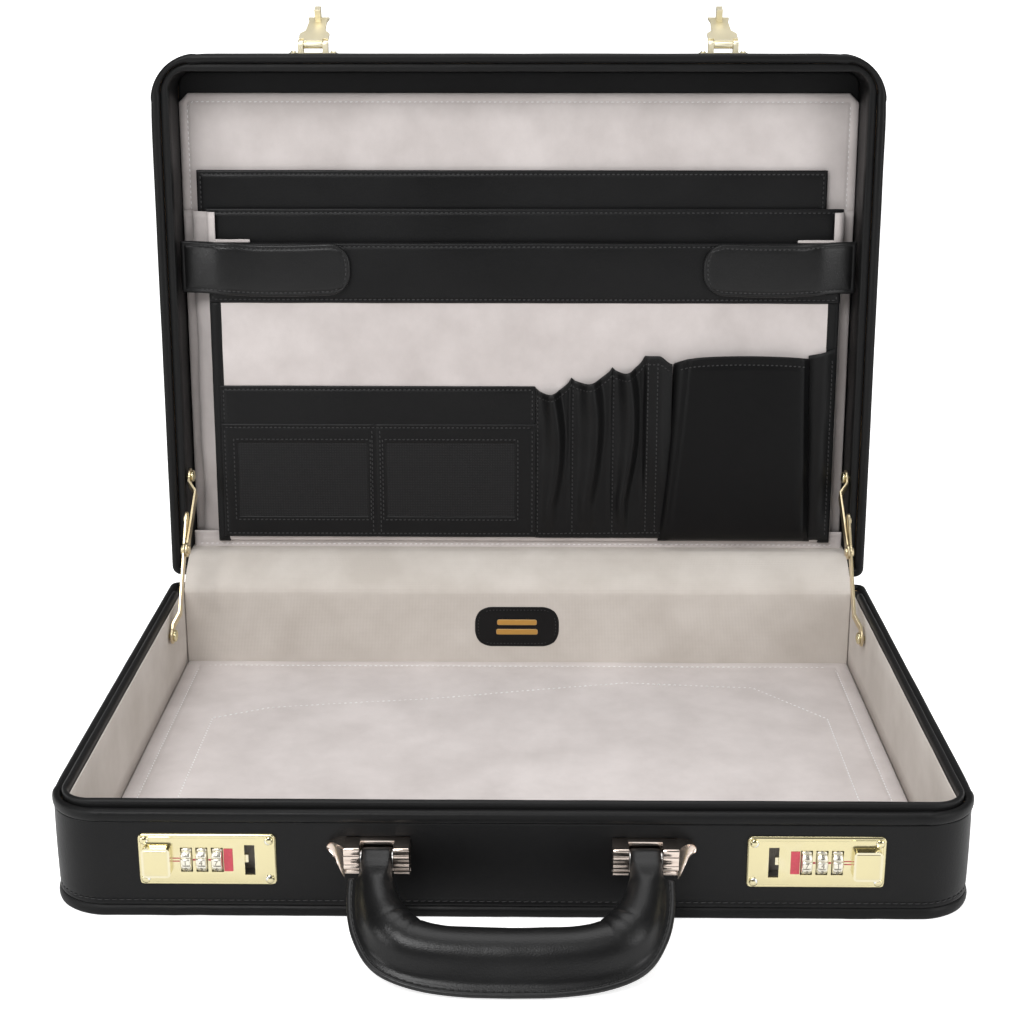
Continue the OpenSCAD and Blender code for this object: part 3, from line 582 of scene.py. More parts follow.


# The third colour of each leather is its lighter edge: partly rub, partly a painted highlight.
LEATHER = leather("leather_black", (0.0055, 0.0055, 0.0058), (0.03, 0.03, 0.031), shine_level=0.2)
SUPPLE = leather("supple_leather", (0.0058, 0.0058, 0.006), (0.035, 0.035, 0.036), rough=(0.27, 0.38),
                 shine_level=0.32)
TRIM = leather("trim_black", (0.005, 0.005, 0.0052), (0.03, 0.03, 0.03), grain_scale=900.0, rough=(0.36, 0.52),
               shine_level=0.2)
POUCH = leather("pouch_black", (0.0035, 0.0035, 0.0037), (0.02, 0.02, 0.02), grain_scale=1500.0, grain=0.2,
                rough=(0.30, 0.42), shine_level=0.15)
WINDOW = textured_vinyl("card_window", (0.0075, 0.0075, 0.008))
SUEDE = suede("suede_grey", (0.66, 0.61, 0.595), (0.53, 0.485, 0.47))
CLOTH = twill("cloth_beige", (0.62, 0.575, 0.53), (0.52, 0.475, 0.43))
BRASS = metal("brass_pale", (0.80, 0.72, 0.43), 0.14, (0.75, 0.67, 0.42))
HASP = metal("hasp_brass", (0.92, 0.84, 0.60), 0.42, (0.86, 0.78, 0.55))
DIAL = metal("dial_nickel", (0.92, 0.88, 0.76), 0.28, (0.86, 0.81, 0.68))
ROSE = metal("rose_nickel", (0.84, 0.71, 0.62), 0.17, (0.78, 0.65, 0.56))
STEEL = metal("steel", (0.55, 0.55, 0.56), 0.3, (0.42, 0.42, 0.43))
SILVER = metal("rivet_silver", (0.92, 0.92, 0.91), 0.14, (0.8, 0.8, 0.8))
STAY = metal("stay_brass", (0.76, 0.63, 0.38), 0.3, (0.66, 0.56, 0.36), brushed=(1.0, 0.2, 0.2))
FLAG = plastic("flag_red", (0.60, 0.07, 0.10), 0.4)
DIGIT = plastic("dial_digits", (0.16, 0.14, 0.11), 0.5)
GOLD = metal("label_gold", (0.80, 0.46, 0.12), 0.35, (0.6, 0.36, 0.12))
THREAD_BLACK = thread("thread_black", (0.035, 0.035, 0.036))
THREAD_DARK = thread("thread_dark", (0.004, 0.004, 0.004))
THREAD_WHITE = thread("thread_white", (0.93, 0.92, 0.92))
THREAD_GREY = thread("thread_grey", (0.60, 0.57, 0.55))
WOOD = wood("basswood")

# ---------------------------------------------------------------- base shell


def bead_profile(top, low, flip=1):
    """Rounded leather bead over the rim, from its outer foot over the top to the inner foot."""
    z = lambda h: top - flip * h
    return [(1.0, z(5.9)), (0.35, z(5.4)), (0.05, z(4.2)), (0.0, z(3.0)), (0.15, z(1.9)), (0.6, z(1.0)),
            (1.4, z(0.35)), (2.4, z(0.05)), (3.4, z(0.0)), (4.3, z(0.2)), (5.1, z(0.7)), (5.6, z(1.5)),
            (5.88, z(2.85)), (2.4, z(2.85)), (2.2, z(5.9))]


def wall_profile(z0, z1, groove):
    """Wall leather with a slight belly, a sewn channel near the welt and a turned edge at the rim."""
    def face(z):
        share = (z - z0) / (z1 - z0)
        belly = 0.35 * math.sin(math.pi * min(1, max(0, share)))
        return 1.05 - belly + 0.55 * math.exp(-((z - groove) / 0.9) ** 2)
    heights = [z0 + 0.3, z0 + 1.2, groove - 1.2, groove - 0.6, groove, groove + 0.6, groove + 1.2]
    heights += [groove + 2.5 + (z1 - groove - 3.5) * i / 8 for i in range(8)]
    heights += [z1 - 1.6, z1 - 0.9, z1 - 0.35]
    heights = sorted(heights)
    return [(1.5, z0)] + [(face(z), z) for z in heights] + [(1.45, z1), (2.2, z1), (2.2, z0)]


def welt_profile(z0, z1):
    """Folded welt strip that closes the shell's outer edge."""
    s = z1 - z0
    return [(1.5, z0), (0.5, z0 + 0.10 * s), (0.08, z0 + 0.28 * s), (0.0, z0 + 0.5 * s), (0.2, z0 + 0.7 * s),
            (0.8, z0 + 0.86 * s), (1.5, z0 + 0.98 * s), (2.2, z1), (2.2, z0)]


def cut_boxes(obj, boxes):
    """Cuts box-shaped openings, given in millimetres in the row frame, and applies the cut."""
    for k, (low, high) in enumerate(boxes):
        mesh = bpy.data.meshes.new(f"cutter{k}")
        bm = bmesh.new()
        bmesh.ops.create_cube(bm, size=1.0)
        for v in bm.verts:
            v.co = Vector(((v.co.x + 0.5) * (high[0] - low[0]) + low[0],
                           (v.co.y + 0.5) * (high[1] - low[1]) + low[1],
                           (v.co.z + 0.5) * (high[2] - low[2]) + low[2])) * MM
        bm.to_mesh(mesh)
        bm.free()
        cutter = bpy.data.objects.new(f"cutter{k}", mesh)
        bpy.context.scene.collection.objects.link(cutter)
        m = obj.modifiers.new("cut", "BOOLEAN")
        m.operation = "DIFFERENCE"
        m.solver = "EXACT"
        m.object = cutter
        bpy.context.view_layer.update()
        done = bpy.data.meshes.new_from_object(obj.evaluated_get(bpy.context.evaluated_depsgraph_get()))
        obj.modifiers.clear()
        obj.data = done
        bpy.data.objects.remove(cutter)
    return obj


def base_shell():
    welt_top = base_box("base_welt")[1].z
    bead_low = base_box("base_rim_bead")[0].z
    groove = welt_top + 2.7
    gap = 207.0
    co, faces = loft(wall_profile(welt_top + 0.1, bead_low - 0.1, groove))
    wall = piece("base_wall_leather", wobble(co, 0.22, 45), faces, LEATHER, "base",
                 ["base_leather"])
    carrier_low, carrier_high = base_box("lock_carriers")
    plate_low, plate_high = base_box("lock_plate_right")
    x0, x1 = plate_low.x + 3, plate_high.x - 3
    z0, z1 = carrier_low.z - 0.1, carrier_high.z + 0.1
    cut_boxes(wall, [((s0, -HD - 1, z0), (s1, -HD + 6, z1)) for s0, s1 in ((x0, x1), (-x1, -x0))])
    co, faces = loft(bead_profile(RIM_Z, bead_low), gap, fold=0.45)
    piece("base_rim_leather", wobble(co, 0.12, 30, 2.0), faces, TRIM, "base", ["base_rim_bead"])
    lip_top = base_box("base_tongue")[1].z
    lip_low = base_box("base_tongue")[0].z
    lip = [(6.03, lip_low), (6.03, lip_top - 1.6), (6.35, lip_top - 0.6), (7.1, lip_top - 0.08),
           (8.3, lip_top), (9.2, lip_top - 0.35), (9.75, lip_top - 1.1), (9.88, lip_top - 2.4), (9.88, lip_low)]
    co, faces = loft(lip, 0.001, fold=0.35)
    keep = [i for i, p in enumerate(co) if p[1] <= base_box("base_tongue")[1].y + 0.01]
    co, faces = trim_ring(lip, base_box("base_tongue")[1].y)
    piece("base_lip_leather", wobble(co, 0.10, 30, 4.0), faces, TRIM, "base", ["base_tongue"])
    co, faces = loft(welt_profile(0.05, welt_top))
    piece("base_welt_leather", wobble(co, 0.18, 12, 6.0), faces, TRIM, "base", ["base_welt"])
    run = [((x, y, groove), n) for (x, y), n in zip(outline(1.25), outward())]
    run.append(run[0])
    co, faces = stitches([run], pitch=3.6, length=2.5, width=0.6)
    piece("base_welt_stitches", co, faces, THREAD_BLACK, "base")
    under = sheet_height(1.1, seams=(), soft=0.6)
    co, faces = panel(-HW + 2.4, HW - 2.4, -HD + 2.4, HD - 2.4, (corner_r(2.4), corner_r(2.4), 3.6, 3.6), under,
                      step=12)
    flip = Matrix.Translation((0, 0, 1.15)) @ Matrix.Rotation(math.pi, 4, "X") @ Matrix.Scale(-1, 4, (0, 1, 0))
    piece("base_underside_leather", co, faces, LEATHER, "base", place=flip)


def outward():
    """Outward directions at the points of the closed outline."""
    a, b = outline(1.0), outline(3.0)
    n = a - b
    n = n / np.linalg.norm(n, axis=1)[:, None]
    return [(x, y, 0.0) for x, y in n]


def trim_ring(profile, y_max):
    """A U-shaped strip: the closed plan cut off square at y_max."""
    rings = []
    for inset, z in profile:
        ring = outline(inset)
        first = next(i for i in range(len(ring)) if ring[i][0] < -100 and ring[i][1] <= y_max)
        last = max(i for i in range(len(ring)) if ring[i][0] > 100 and ring[i][1] <= y_max)
        part = ring[first:last + 1].copy()
        start, end = part[0].copy(), part[-1].copy()
        start[1] = y_max
        end[1] = y_max
        part = np.vstack([start, part, end])
        rings.append(np.column_stack([part, np.full(len(part), z)]))
    n = min(len(r) for r in rings)
    assert all(len(r) == n for r in rings), [len(r) for r in rings]
    co, k, faces = np.vstack(rings), len(rings), []
    for a in range(k):
        b = (a + 1) % k
        for i in range(n - 1):
            faces.append((a * n + i, a * n + i + 1, b * n + i + 1, b * n + i))
    faces.append([a * n for a in range(k)])
    faces.append([a * n + n - 1 for a in reversed(range(k))])
    return co, faces


def side_lining():
    low, high = base_box("base_side_lining")
    profile = [(10.05, low.z), (10.05, high.z), (10.2, high.z + 0.35), (10.6, high.z + 0.35), (10.88, high.z),
               (10.9, high.z - 12), (10.9, low.z + 12), (10.88, low.z)]
    co, faces = trim_ring(profile, base_box("hinge_flap_base")[0].y - 0.2)
    piece("base_wall_lining", wobble(co, 0.15, 30, 8.0), faces, CLOTH, "base",
          ["base_side_lining"])


def floor_pad():
    """Quilted suede floor: a border seam and a lighter seam that outlines the panel inside."""
    low, high = base_box("base_floor_pad")
    thick = high.z - low.z
    corner = corner_r(WALL_IN)

    def height(d, x, y):
        h = thick * (0.5 + 0.5 * (1 - math.exp(-d / 1.6)))
        h += 0.9 * (1 - math.exp(-max(0.0, d - 9.0) / 16.0)) - 0.55 * math.exp(-((d - 9.0) / 1.1) ** 2)
        h -= 0.4 * math.exp(-(inner_seam_distance(x, y) / 1.6) ** 2)
        h += 0.35 * noise.noise(Vector((x / 70, y / 70, 3.1)))
        return h

    fine = (0.0, 0.5, 1.3, 2.4, 4.0, 5.8, 7.2, 8.2, 9.0, 9.8, 10.8, 12.4)
    co, faces = panel(low.x, high.x, low.y, high.y, (corner, corner, 0, 0), height, step=3.6, edge=fine)
    lift = Matrix.Translation((0, 0, low.z))
    piece("floor_pad_suede", co, faces, SUEDE, "base", ["base_floor_pad"], place=lift)
    border = rounded_path(low.x + 9, high.x - 9, low.y + 9, high.y - 9, 10)
    border = flat_path(border, low.z + height(9.0, 0, 0) + 0.1)
    inner = [(x, y) for x, y in dense(INNER_SEAM)]
    paths = [border, [((x, y, low.z + height(60, x, y) + 0.12), (0, 0, 1)) for x, y in inner]]
    co, faces = stitches(paths, pitch=3.4, length=2.0, width=0.75)
    piece("floor_pad_stitches", co, faces, THREAD_WHITE, "base")


INNER_SEAM = [(-186, -150), (-185, 58), (-152, 74), (-60, 88), (70, 116), (150, 108), (190, 60), (190, -150)]


def dense(points, step=2.0):
    out = []
    for a, b in zip(points, points[1:]):
        n = max(1, int(math.dist(a, b) / step))
        out += line_points(a, b, n)
    return out + [points[-1]]


def inner_seam_distance(x, y):
    best = 1e9
    for (ax, ay), (bx, by) in zip(INNER_SEAM, INNER_SEAM[1:]):
        t = ((x - ax) * (bx - ax) + (y - ay) * (by - ay)) / ((bx - ax) ** 2 + (by - ay) ** 2)
        t = min(1, max(0, t))
        best = min(best, math.hypot(x - ax - t * (bx - ax), y - ay - t * (by - ay)))
    return best


# ---------------------------------------------------------------- lid shell


def lid_shell():
    bead_t0, bead_t1 = lid_box("lid_rim_bead")[0].y, lid_box("lid_rim_bead")[1].y
    welt_t0 = lid_box("lid_welt")[0].y
    groove = welt_t0 - 2.7
    gap = 207.0
    co, faces = loft(bead_profile(bead_t0, bead_t1, flip=-1), gap, fold=0.45)
    piece("lid_rim_leather", wobble(co, 0.12, 30, 12.0), faces, TRIM, "lid", ["lid_rim_bead"],
          place=LID_PLAN)
    mirror = [(i, bead_t1 + 0.1 + welt_t0 - 0.1 - z) for i, z in
              wall_profile(bead_t1 + 0.1, welt_t0 - 0.1, bead_t1 + welt_t0 - groove)]
    co, faces = loft(mirror)
    piece("lid_wall_leather", wobble(co, 0.22, 45, 14.0), faces, LEATHER, "lid",
          ["lid_leather"], place=LID_PLAN)
    weltp = [(i, welt_t0 + LID_T - z) for i, z in welt_profile(welt_t0, LID_T - 0.05)]
    co, faces = loft(weltp)
    piece("lid_welt_leather", wobble(co, 0.18, 12, 16.0), faces, TRIM, "lid", ["lid_welt"],
          place=LID_PLAN)
    run = [((x, y, groove), n) for (x, y), n in zip(outline(1.25), outward())]
    run.append(run[0])
    co, faces = stitches([run], pitch=3.6, length=2.5, width=0.6)
    piece("lid_welt_stitches", co, faces, THREAD_BLACK, "lid", place=LID_PLAN)

    def top(d, x, y):
        h = 1.1 * (0.4 + 0.6 * (1 - math.exp(-d / 0.8)))
        return h + 0.5 * (1 - math.exp(-d / 40.0)) + 0.18 * noise.noise(Vector((x / 60, y / 60, 9.7)))

    co, faces = panel(-HW + 2.4, HW - 2.4, -HD + 2.4, HD - 2.4, (corner_r(2.4), corner_r(2.4), 3.6, 3.6), top,
                      step=8)
    piece("lid_top_leather", co, faces, LEATHER, "lid",
          place=LID_PLAN @ Matrix.Translation((0, 0, LID_T - 1.7)))


def lid_inside():
    """Black lined walls, the ledge behind the rim, and the sueded board with its border seam."""
    low, high = lid_box("lid_inner_lining")
    ledge, back = low.y, high.y
    profile = [(6.0, ledge + 0.3), (6.3, ledge), (9.6, ledge - 0.02), (10.5, ledge + 0.1), (10.88, ledge + 0.6),
               (10.9, ledge + 8), (10.7, (ledge + back) / 2), (10.9, back - 9), (10.9, back - 1.0), (10.9, back),
               (10.02, back), (10.02, ledge + 2.4), (6.0, ledge + 2.2)]
    co, faces = loft(profile)
    piece("lid_wall_lining", wobble(co, 0.12, 25, 18.0), faces, TRIM, "lid",
          ["lid_inner_lining"], place=LID_PLAN)
    reach = WALL_IN + 0.05
    under = sheet_height(0.9, soft=0.5)
    co, faces = panel(-HW + reach, HW - reach, -HD + reach, HD - reach, (corner_r(reach),) * 2 + (0, 0), under,
                      step=14)
    co = [(x, y, back - h) for x, y, h in co]
    piece("lid_ceiling_lining", co, faces, TRIM, "lid", place=LID_PLAN)
    low, high = lid_box("lid_lining_panel")
    thick = high.y - low.y

    def height(d, x, y):
        h = thick * (0.45 + 0.55 * (1 - math.exp(-d / 1.2)))
        h -= 0.5 * math.exp(-((d - 5.5) / 0.9) ** 2)
        return h + 0.3 * (1 - math.exp(-max(0, d - 6) / 14)) + 0.25 * noise.noise(Vector((x / 60, y / 60, 5.5)))

    fine = (0.0, 0.5, 1.3, 2.4, 3.6, 4.6, 5.1, 5.9, 6.6, 7.8)
    kinds = ("round", "round", "cut", "cut")
    co, faces = panel(low.x, high.x, low.z, high.z, (2, 2, 6, 6), height, kinds=kinds, step=4.5, edge=fine)
    piece("lid_panel_suede", co, faces, SUEDE, "lid", ["lid_lining_panel"], place=PLATE(high.y))
    s = 5.5
    cut = 3.5
    x0, x1, y0, y1 = low.x + s, high.x - s, low.z + s, high.z - s
    seam = [(x0, y0), (x1, y0), (x1, y1 - cut), (x1 - cut, y1), (x0 + cut, y1), (x0, y1 - cut), (x0, y0)]
    path = flat_path(dense(seam), height(s, 0, 0) + 0.15)
    co, faces = stitches([path], pitch=3.4, length=2.1, width=0.55)
    piece("lid_panel_stitches", co, faces, THREAD_WHITE, "lid", place=PLATE(high.y))


def hinge_flap():
    """One padded cloth from the base's rear wall, over the hinge, to the lid's rear wall."""
    low, high = base_box("hinge_flap_base")
    t0, t1 = lid_box("hinge_flap_lid")[0], lid_box("hinge_flap_lid")[1]
    lean = math.radians(LEAN)

    def lid_point(t, u):
        return (HINGE.y + t * math.cos(lean) + u * math.sin(lean), HINGE.z + u * math.cos(lean) - t * math.sin(lean))

    front = [(low.y, low.z + 0.5)] + [(low.y, low.z + 2 + (RIM_Z - 6 - low.z) * i / 12) for i in range(13)]
    bend_a, bend_b = Vector(front[-1]), Vector(lid_point(9.0, t1.z))
    knee = Vector((low.y + 0.4, RIM_Z + 3.5))
    for i in range(1, 14):
        s = i / 14
        p = bend_a * (1 - s) ** 2 + knee * 2 * s * (1 - s) + bend_b * s ** 2
        front.append((p.x, p.y))
    front += [lid_point(9.0 + (SUEDE_T - 9.5) * i / 8, t1.z) for i in range(9)]
    front = np.array(front)
    tangent = np.gradient(front, axis=0)
    tangent = tangent / np.linalg.norm(tangent, axis=1)[:, None]
    normal = np.column_stack([tangent[:, 1], -tangent[:, 0]])
    thick = 2.4
    half = high.x + 1.7
    xs = axis_lines(-half, half, edge=(0, 0.6, 1.5, 3.0, 5.0, 6.2, 7.0, 7.8, 9.5, 13), step=8)
    n_s, n_x = len(front), len(xs)
    co_front, co_back = [], []
    for k in range(n_s):
        for x in xs:
            d = half - abs(x)
            puff = 0.7 * (1 - math.exp(-max(0, d - 7) / 9)) - 0.5 * math.exp(-((d - 7) / 0.8) ** 2)
            puff += 0.35 * noise.noise(Vector((x / 45, k / 5.0, 1.7))) - 0.9 * math.exp(-d / 0.9)
            edge_fall = math.exp(-k / 1.2) + math.exp(-(n_s - 1 - k) / 1.2)
            p = front[k] - normal[k] * (puff - 0.9 * edge_fall) * -1.0
            q = front[k] - normal[k] * thick
            co_front.append((x, p[0], p[1]))
            co_back.append((x, q[0], q[1]))
    total = n_s * n_x
    faces = []
    for k in range(n_s - 1):
        for i in range(n_x - 1):
            a = k * n_x + i
            faces.append((a, a + 1, a + n_x + 1, a + n_x))
            faces.append((total + a, total + a + n_x, total + a + n_x + 1, total + a + 1))
    rim = list(range(n_x)) + [k * n_x + n_x - 1 for k in range(1, n_s)]
    rim += [(n_s - 1) * n_x + i for i in range(n_x - 2, -1, -1)] + [k * n_x for k in range(n_s - 2, 0, -1)]
    for a, b in zip(rim, rim[1:] + rim[:1]):
        faces.append((a, total + a, total + b, b))
    start = Vector((0, HINGE.y - 15, HINGE.z - 5)) * MM
    end = Vector((0, HINGE.y + 5, HINGE.z + 15)) * MM
    obj = piece("hinge_flap_cloth", co_front + co_back, faces, CLOTH, "base",
                ["hinge_flap_base", "hinge_flap_lid"], blend=("lid", start, end))
    paths = []
    for side in (-1, 1):
        i = int(np.argmin(np.abs(xs - side * (half - 7))))
        paths.append([(Vector(co_front[k * n_x + i]) + Vector((0, normal[k][0], normal[k][1])) * 0.1,
                       (0, normal[k][0], normal[k][1])) for k in range(1, n_s - 1)])
    co, faces = stitches(paths, pitch=3.4, length=2.0, width=0.8)
    piece("hinge_flap_stitches", co, faces, THREAD_WHITE, "base", blend=("lid", start, end))
    return obj


def label_patch():
    """Small leather label with a sewn border. Two plain gold bars stand where a maker would print words."""
    low, high = base_box("label_patch")
    w, h = (high.x - low.x) / 2, (high.z - low.z) / 2
    place = Matrix.Translation(((low.x + high.x) / 2, high.y - 0.9, (low.z + high.z) / 2)) \
        @ Matrix.Rotation(math.radians(90), 4, "X")
    height = sheet_height(2.0, seams=(2.6,), seam_depth=0.5, soft=0.7)
    co, faces = panel(-w, w, -h, h, (12,) * 4, height, step=1.5)
    piece("label_leather", co, faces, LEATHER, "base", ["label_patch"], place=place)
    path = flat_path(rounded_path(-w + 2.6, w - 2.6, -h + 2.6, h - 2.6, 9.4, step=0.8), height(2.6, 0, 0) + 0.15)
    co, faces = stitches([path], pitch=2.2, length=1.4, width=0.45)
    piece("label_stitches", co, faces, THREAD_BLACK, "base", place=place)
    top = height(9, 0, 0)
    for name, y, half in (("label_bar_upper", 3.2, 13.0), ("label_bar_lower", -3.4, 13.6)):
        bar = lambda d, x, yy: 0.12 + 0.14 * (1 - math.exp(-d / 0.25))
        co, faces = panel(-half, half, y - 1.9, y + 1.9, (1.2,) * 4, bar, step=1.2, edge=(0, 0.2, 0.5))
        piece(name, co, faces, GOLD, "base", place=place @ Matrix.Translation((0, 0, top - 0.12)))


# ---------------------------------------------------------------- document file


def drape(x0, x1, u0, top, height, thick=1.2, nx=44, nv=36, slide=None):
    """A hollow pocket front. height(s, v) is how far it stands off the sheet behind it.

    s runs from 0 to 1 along x, v from 0 at the foot to 1 at the open top, whose height is top(x).
    """
    front, rear = [], []
    for j in range(nv + 1):
        for i in range(nx + 1):
            s, v = i / nx, j / nv
            x = x0 + s * (x1 - x0) + (slide(s, v) if slide else 0.0)
            u = u0 + v * (top(x0 + s * (x1 - x0)) - u0)
            h = height(s, v)
            front.append((x, u, h))
            rear.append((x, u, max(0.02, h - thick)))
    n = nx + 1
    total = n * (nv + 1)
    faces = []
    for j in range(nv):
        for i in range(nx):
            a = j * n + i
            faces.append((a, a + 1, a + n + 1, a + n))
            faces.append((total + a, total + a + n, total + a + n + 1, total + a + 1))
    rim = list(range(n)) + [j * n + nx for j in range(1, nv + 1)]
    rim += [nv * n + i for i in range(nx - 1, -1, -1)] + [j * n for j in range(nv - 1, 0, -1)]
    for a, b in zip(rim, rim[1:] + rim[:1]):
        faces.append((a, total + a, total + b, b))
    return front + rear, faces


def band_height(thick, seams, wave, seed):
    """A sewn leather band: sunk seams, a soft pillow between them and slow waves along it."""
    def height(d, x, y):
        h = thick * (0.5 + 0.5 * (1 - math.exp(-d / 0.6)))
        for s in seams:
            h -= 0.35 * math.exp(-((d - s) / 0.6) ** 2)
        h += 0.5 * (1 - math.exp(-max(0.0, d - seams[-1]) / 5.0))
        return h + wave * noise.noise(Vector((x / 38, y / 30, seed)))
    return height


def sewn_line(points, surface, lift=0.12):
    """A stitch path over a height-field sheet that faces the viewer."""
    return [((x, y, surface(x, y) + lift), (0, 0, 1)) for x, y in points]


def edge_distance(x0, x1, y0, y1):
    return lambda x, y: min(x - x0, x1 - x, y - y0, y1 - y)


def divider(node, body, band_depth, seed):
    """A suede-backed sheet whose top is bound by a sewn leather band."""
    low, high = lid_box(node)
    thick = high.y - low.y
    place = PLATE(high.y)
    flat = sheet_height(thick - 0.95, soft=0.5)
    co, faces = panel(low.x + 0.6, high.x - 0.6, low.z, high.z - 1.2, (2,) * 4, flat, back=0.3, step=12)
    piece(f"{node}_sheet", co, faces, SUEDE, body, place=place)
    y0 = high.z - band_depth
    height = band_height(thick - 0.1, (2.6,), 0.25, seed)
    co, faces = panel(low.x, high.x, y0, high.z, (0.6,) * 4, height, step=4,
                      edge=(0, 0.3, 0.8, 1.5, 2.1, 2.6, 3.1, 3.8, 5.5))
    piece(f"{node}_band", wobble(co, 0.15, 40, seed), faces, LEATHER, body, [node], place=place)
    far = edge_distance(low.x, high.x, y0, high.z)
    path = rounded_path(low.x + 2.6, high.x - 2.6, y0 + 0.4, high.z - 2.6, 0, sides="rtl")
    surface = lambda x, y: height(far(x, y), x, y)
    co, faces = stitches([sewn_line(path, surface)], pitch=3.1, length=2.1, width=0.85)
    piece(f"{node}_stitches", co, faces, THREAD_BLACK, body, place=place)


def front_folder():
    """The front sheet: suede, bound at both sides, with the broad strap band across its top."""
    low, high = lid_box("folio_front")
    sheet_t, band_t = high.y - 2.5, low.y
    band_low, place = high.z - 39.0, PLATE(high.y)

    def suede_face(d, x, y):
        return 2.35 * (0.5 + 0.5 * (1 - math.exp(-d / 0.7))) + 0.2 * noise.noise(Vector((x / 50, y / 50, 7.7)))

    co, faces = panel(low.x + 0.5, high.x - 0.5, low.z, high.z - 0.6, (1.5,) * 4, suede_face, step=6)
    piece("folder_suede", co, faces, SUEDE, "file_front", ["folio_front"], place=place)
    edge = (0, 0.3, 0.8, 1.4, 2.0, 2.6, 3.2)
    for name, x0, x1 in (("left", low.x, low.x + 8), ("right", high.x - 8, high.x)):
        bind = band_height(3.0, (2.0,), 0.12, 3.3)
        co, faces = panel(x0, x1, low.z - 0.5, band_low + 2, (0.8,) * 4, bind, back=-0.15, step=3, edge=edge)
        piece(f"folder_binding_{name}", wobble(co, 0.1, 20, 2.2), faces, TRIM, "file_front",
              place=place)
    height = band_height(high.y - band_t, (2.6,), 0.45, 5.1)
    co, faces = panel(low.x, high.x, band_low, high.z, (1.0,) * 4, height, back=-0.15, step=3,
                      edge=(0, 0.3, 0.8, 1.5, 2.1, 2.6, 3.1, 3.8, 5.5))
    piece("folder_band", wobble(co, 0.2, 50, 9.1), faces, LEATHER, "file_front", place=place)
    far = edge_distance(low.x, high.x, band_low, high.z)
    surface = lambda x, y: height(far(x, y), x, y)
    path = rounded_path(low.x + 2.6, high.x - 2.6, band_low + 2.6, high.z - 2.6, 0.5)
    co, faces = stitches([sewn_line(path, surface)], pitch=3.1, length=2.1, width=0.85)
    piece("folder_band_stitches", co, faces, THREAD_BLACK, "file_front", place=place)
    lining = lambda d, x, y: 0.5 + 0.5 * (1 - math.exp(-d / 0.3))
    for name, x0, x1 in (("left", low.x + 2, low.x + 27), ("right", high.x - 28, high.x - 2)):
        co, faces = panel(x0, x1, high.z - 8, high.z + 1.6, (0.5,) * 4, lining, back=-0.6, step=5)
        piece(f"folder_lining_{name}", wobble(co, 0.5, 14, 1.0), faces, SUEDE, "file_front",
              place=place @ Matrix.Translation((0, 0, -1.0)))


def foot_strip():
    """The suede foot that joins the file to the lid, sewn along its middle."""
    folder_low, folder_high = lid_box("folio_front")
    panel_low, panel_high = lid_box("lid_lining_panel")
    u0, u1 = panel_low.z + 0.2, folder_low.z + 6
    height = sheet_height(0.9, seams=(3.6,), soft=0.5)
    co, faces = panel(panel_low.x + 1, panel_high.x - 1, u0, u1, (0.5,) * 4, height, step=6)
    place = PLATE(folder_high.y + 2.0)
    piece("file_foot_strip", wobble(co, 0.25, 40, 6.1), faces, SUEDE, "lid", place=place)
    path = flat_path(line_points((panel_low.x + 4, u0 + 3.6), (panel_high.x - 4, u0 + 3.6), 150), 0.75)
    co, faces = stitches([path], pitch=3.4, length=2.1, width=0.55)
    piece("file_foot_stitches", co, faces, THREAD_WHITE, "lid", place=place)


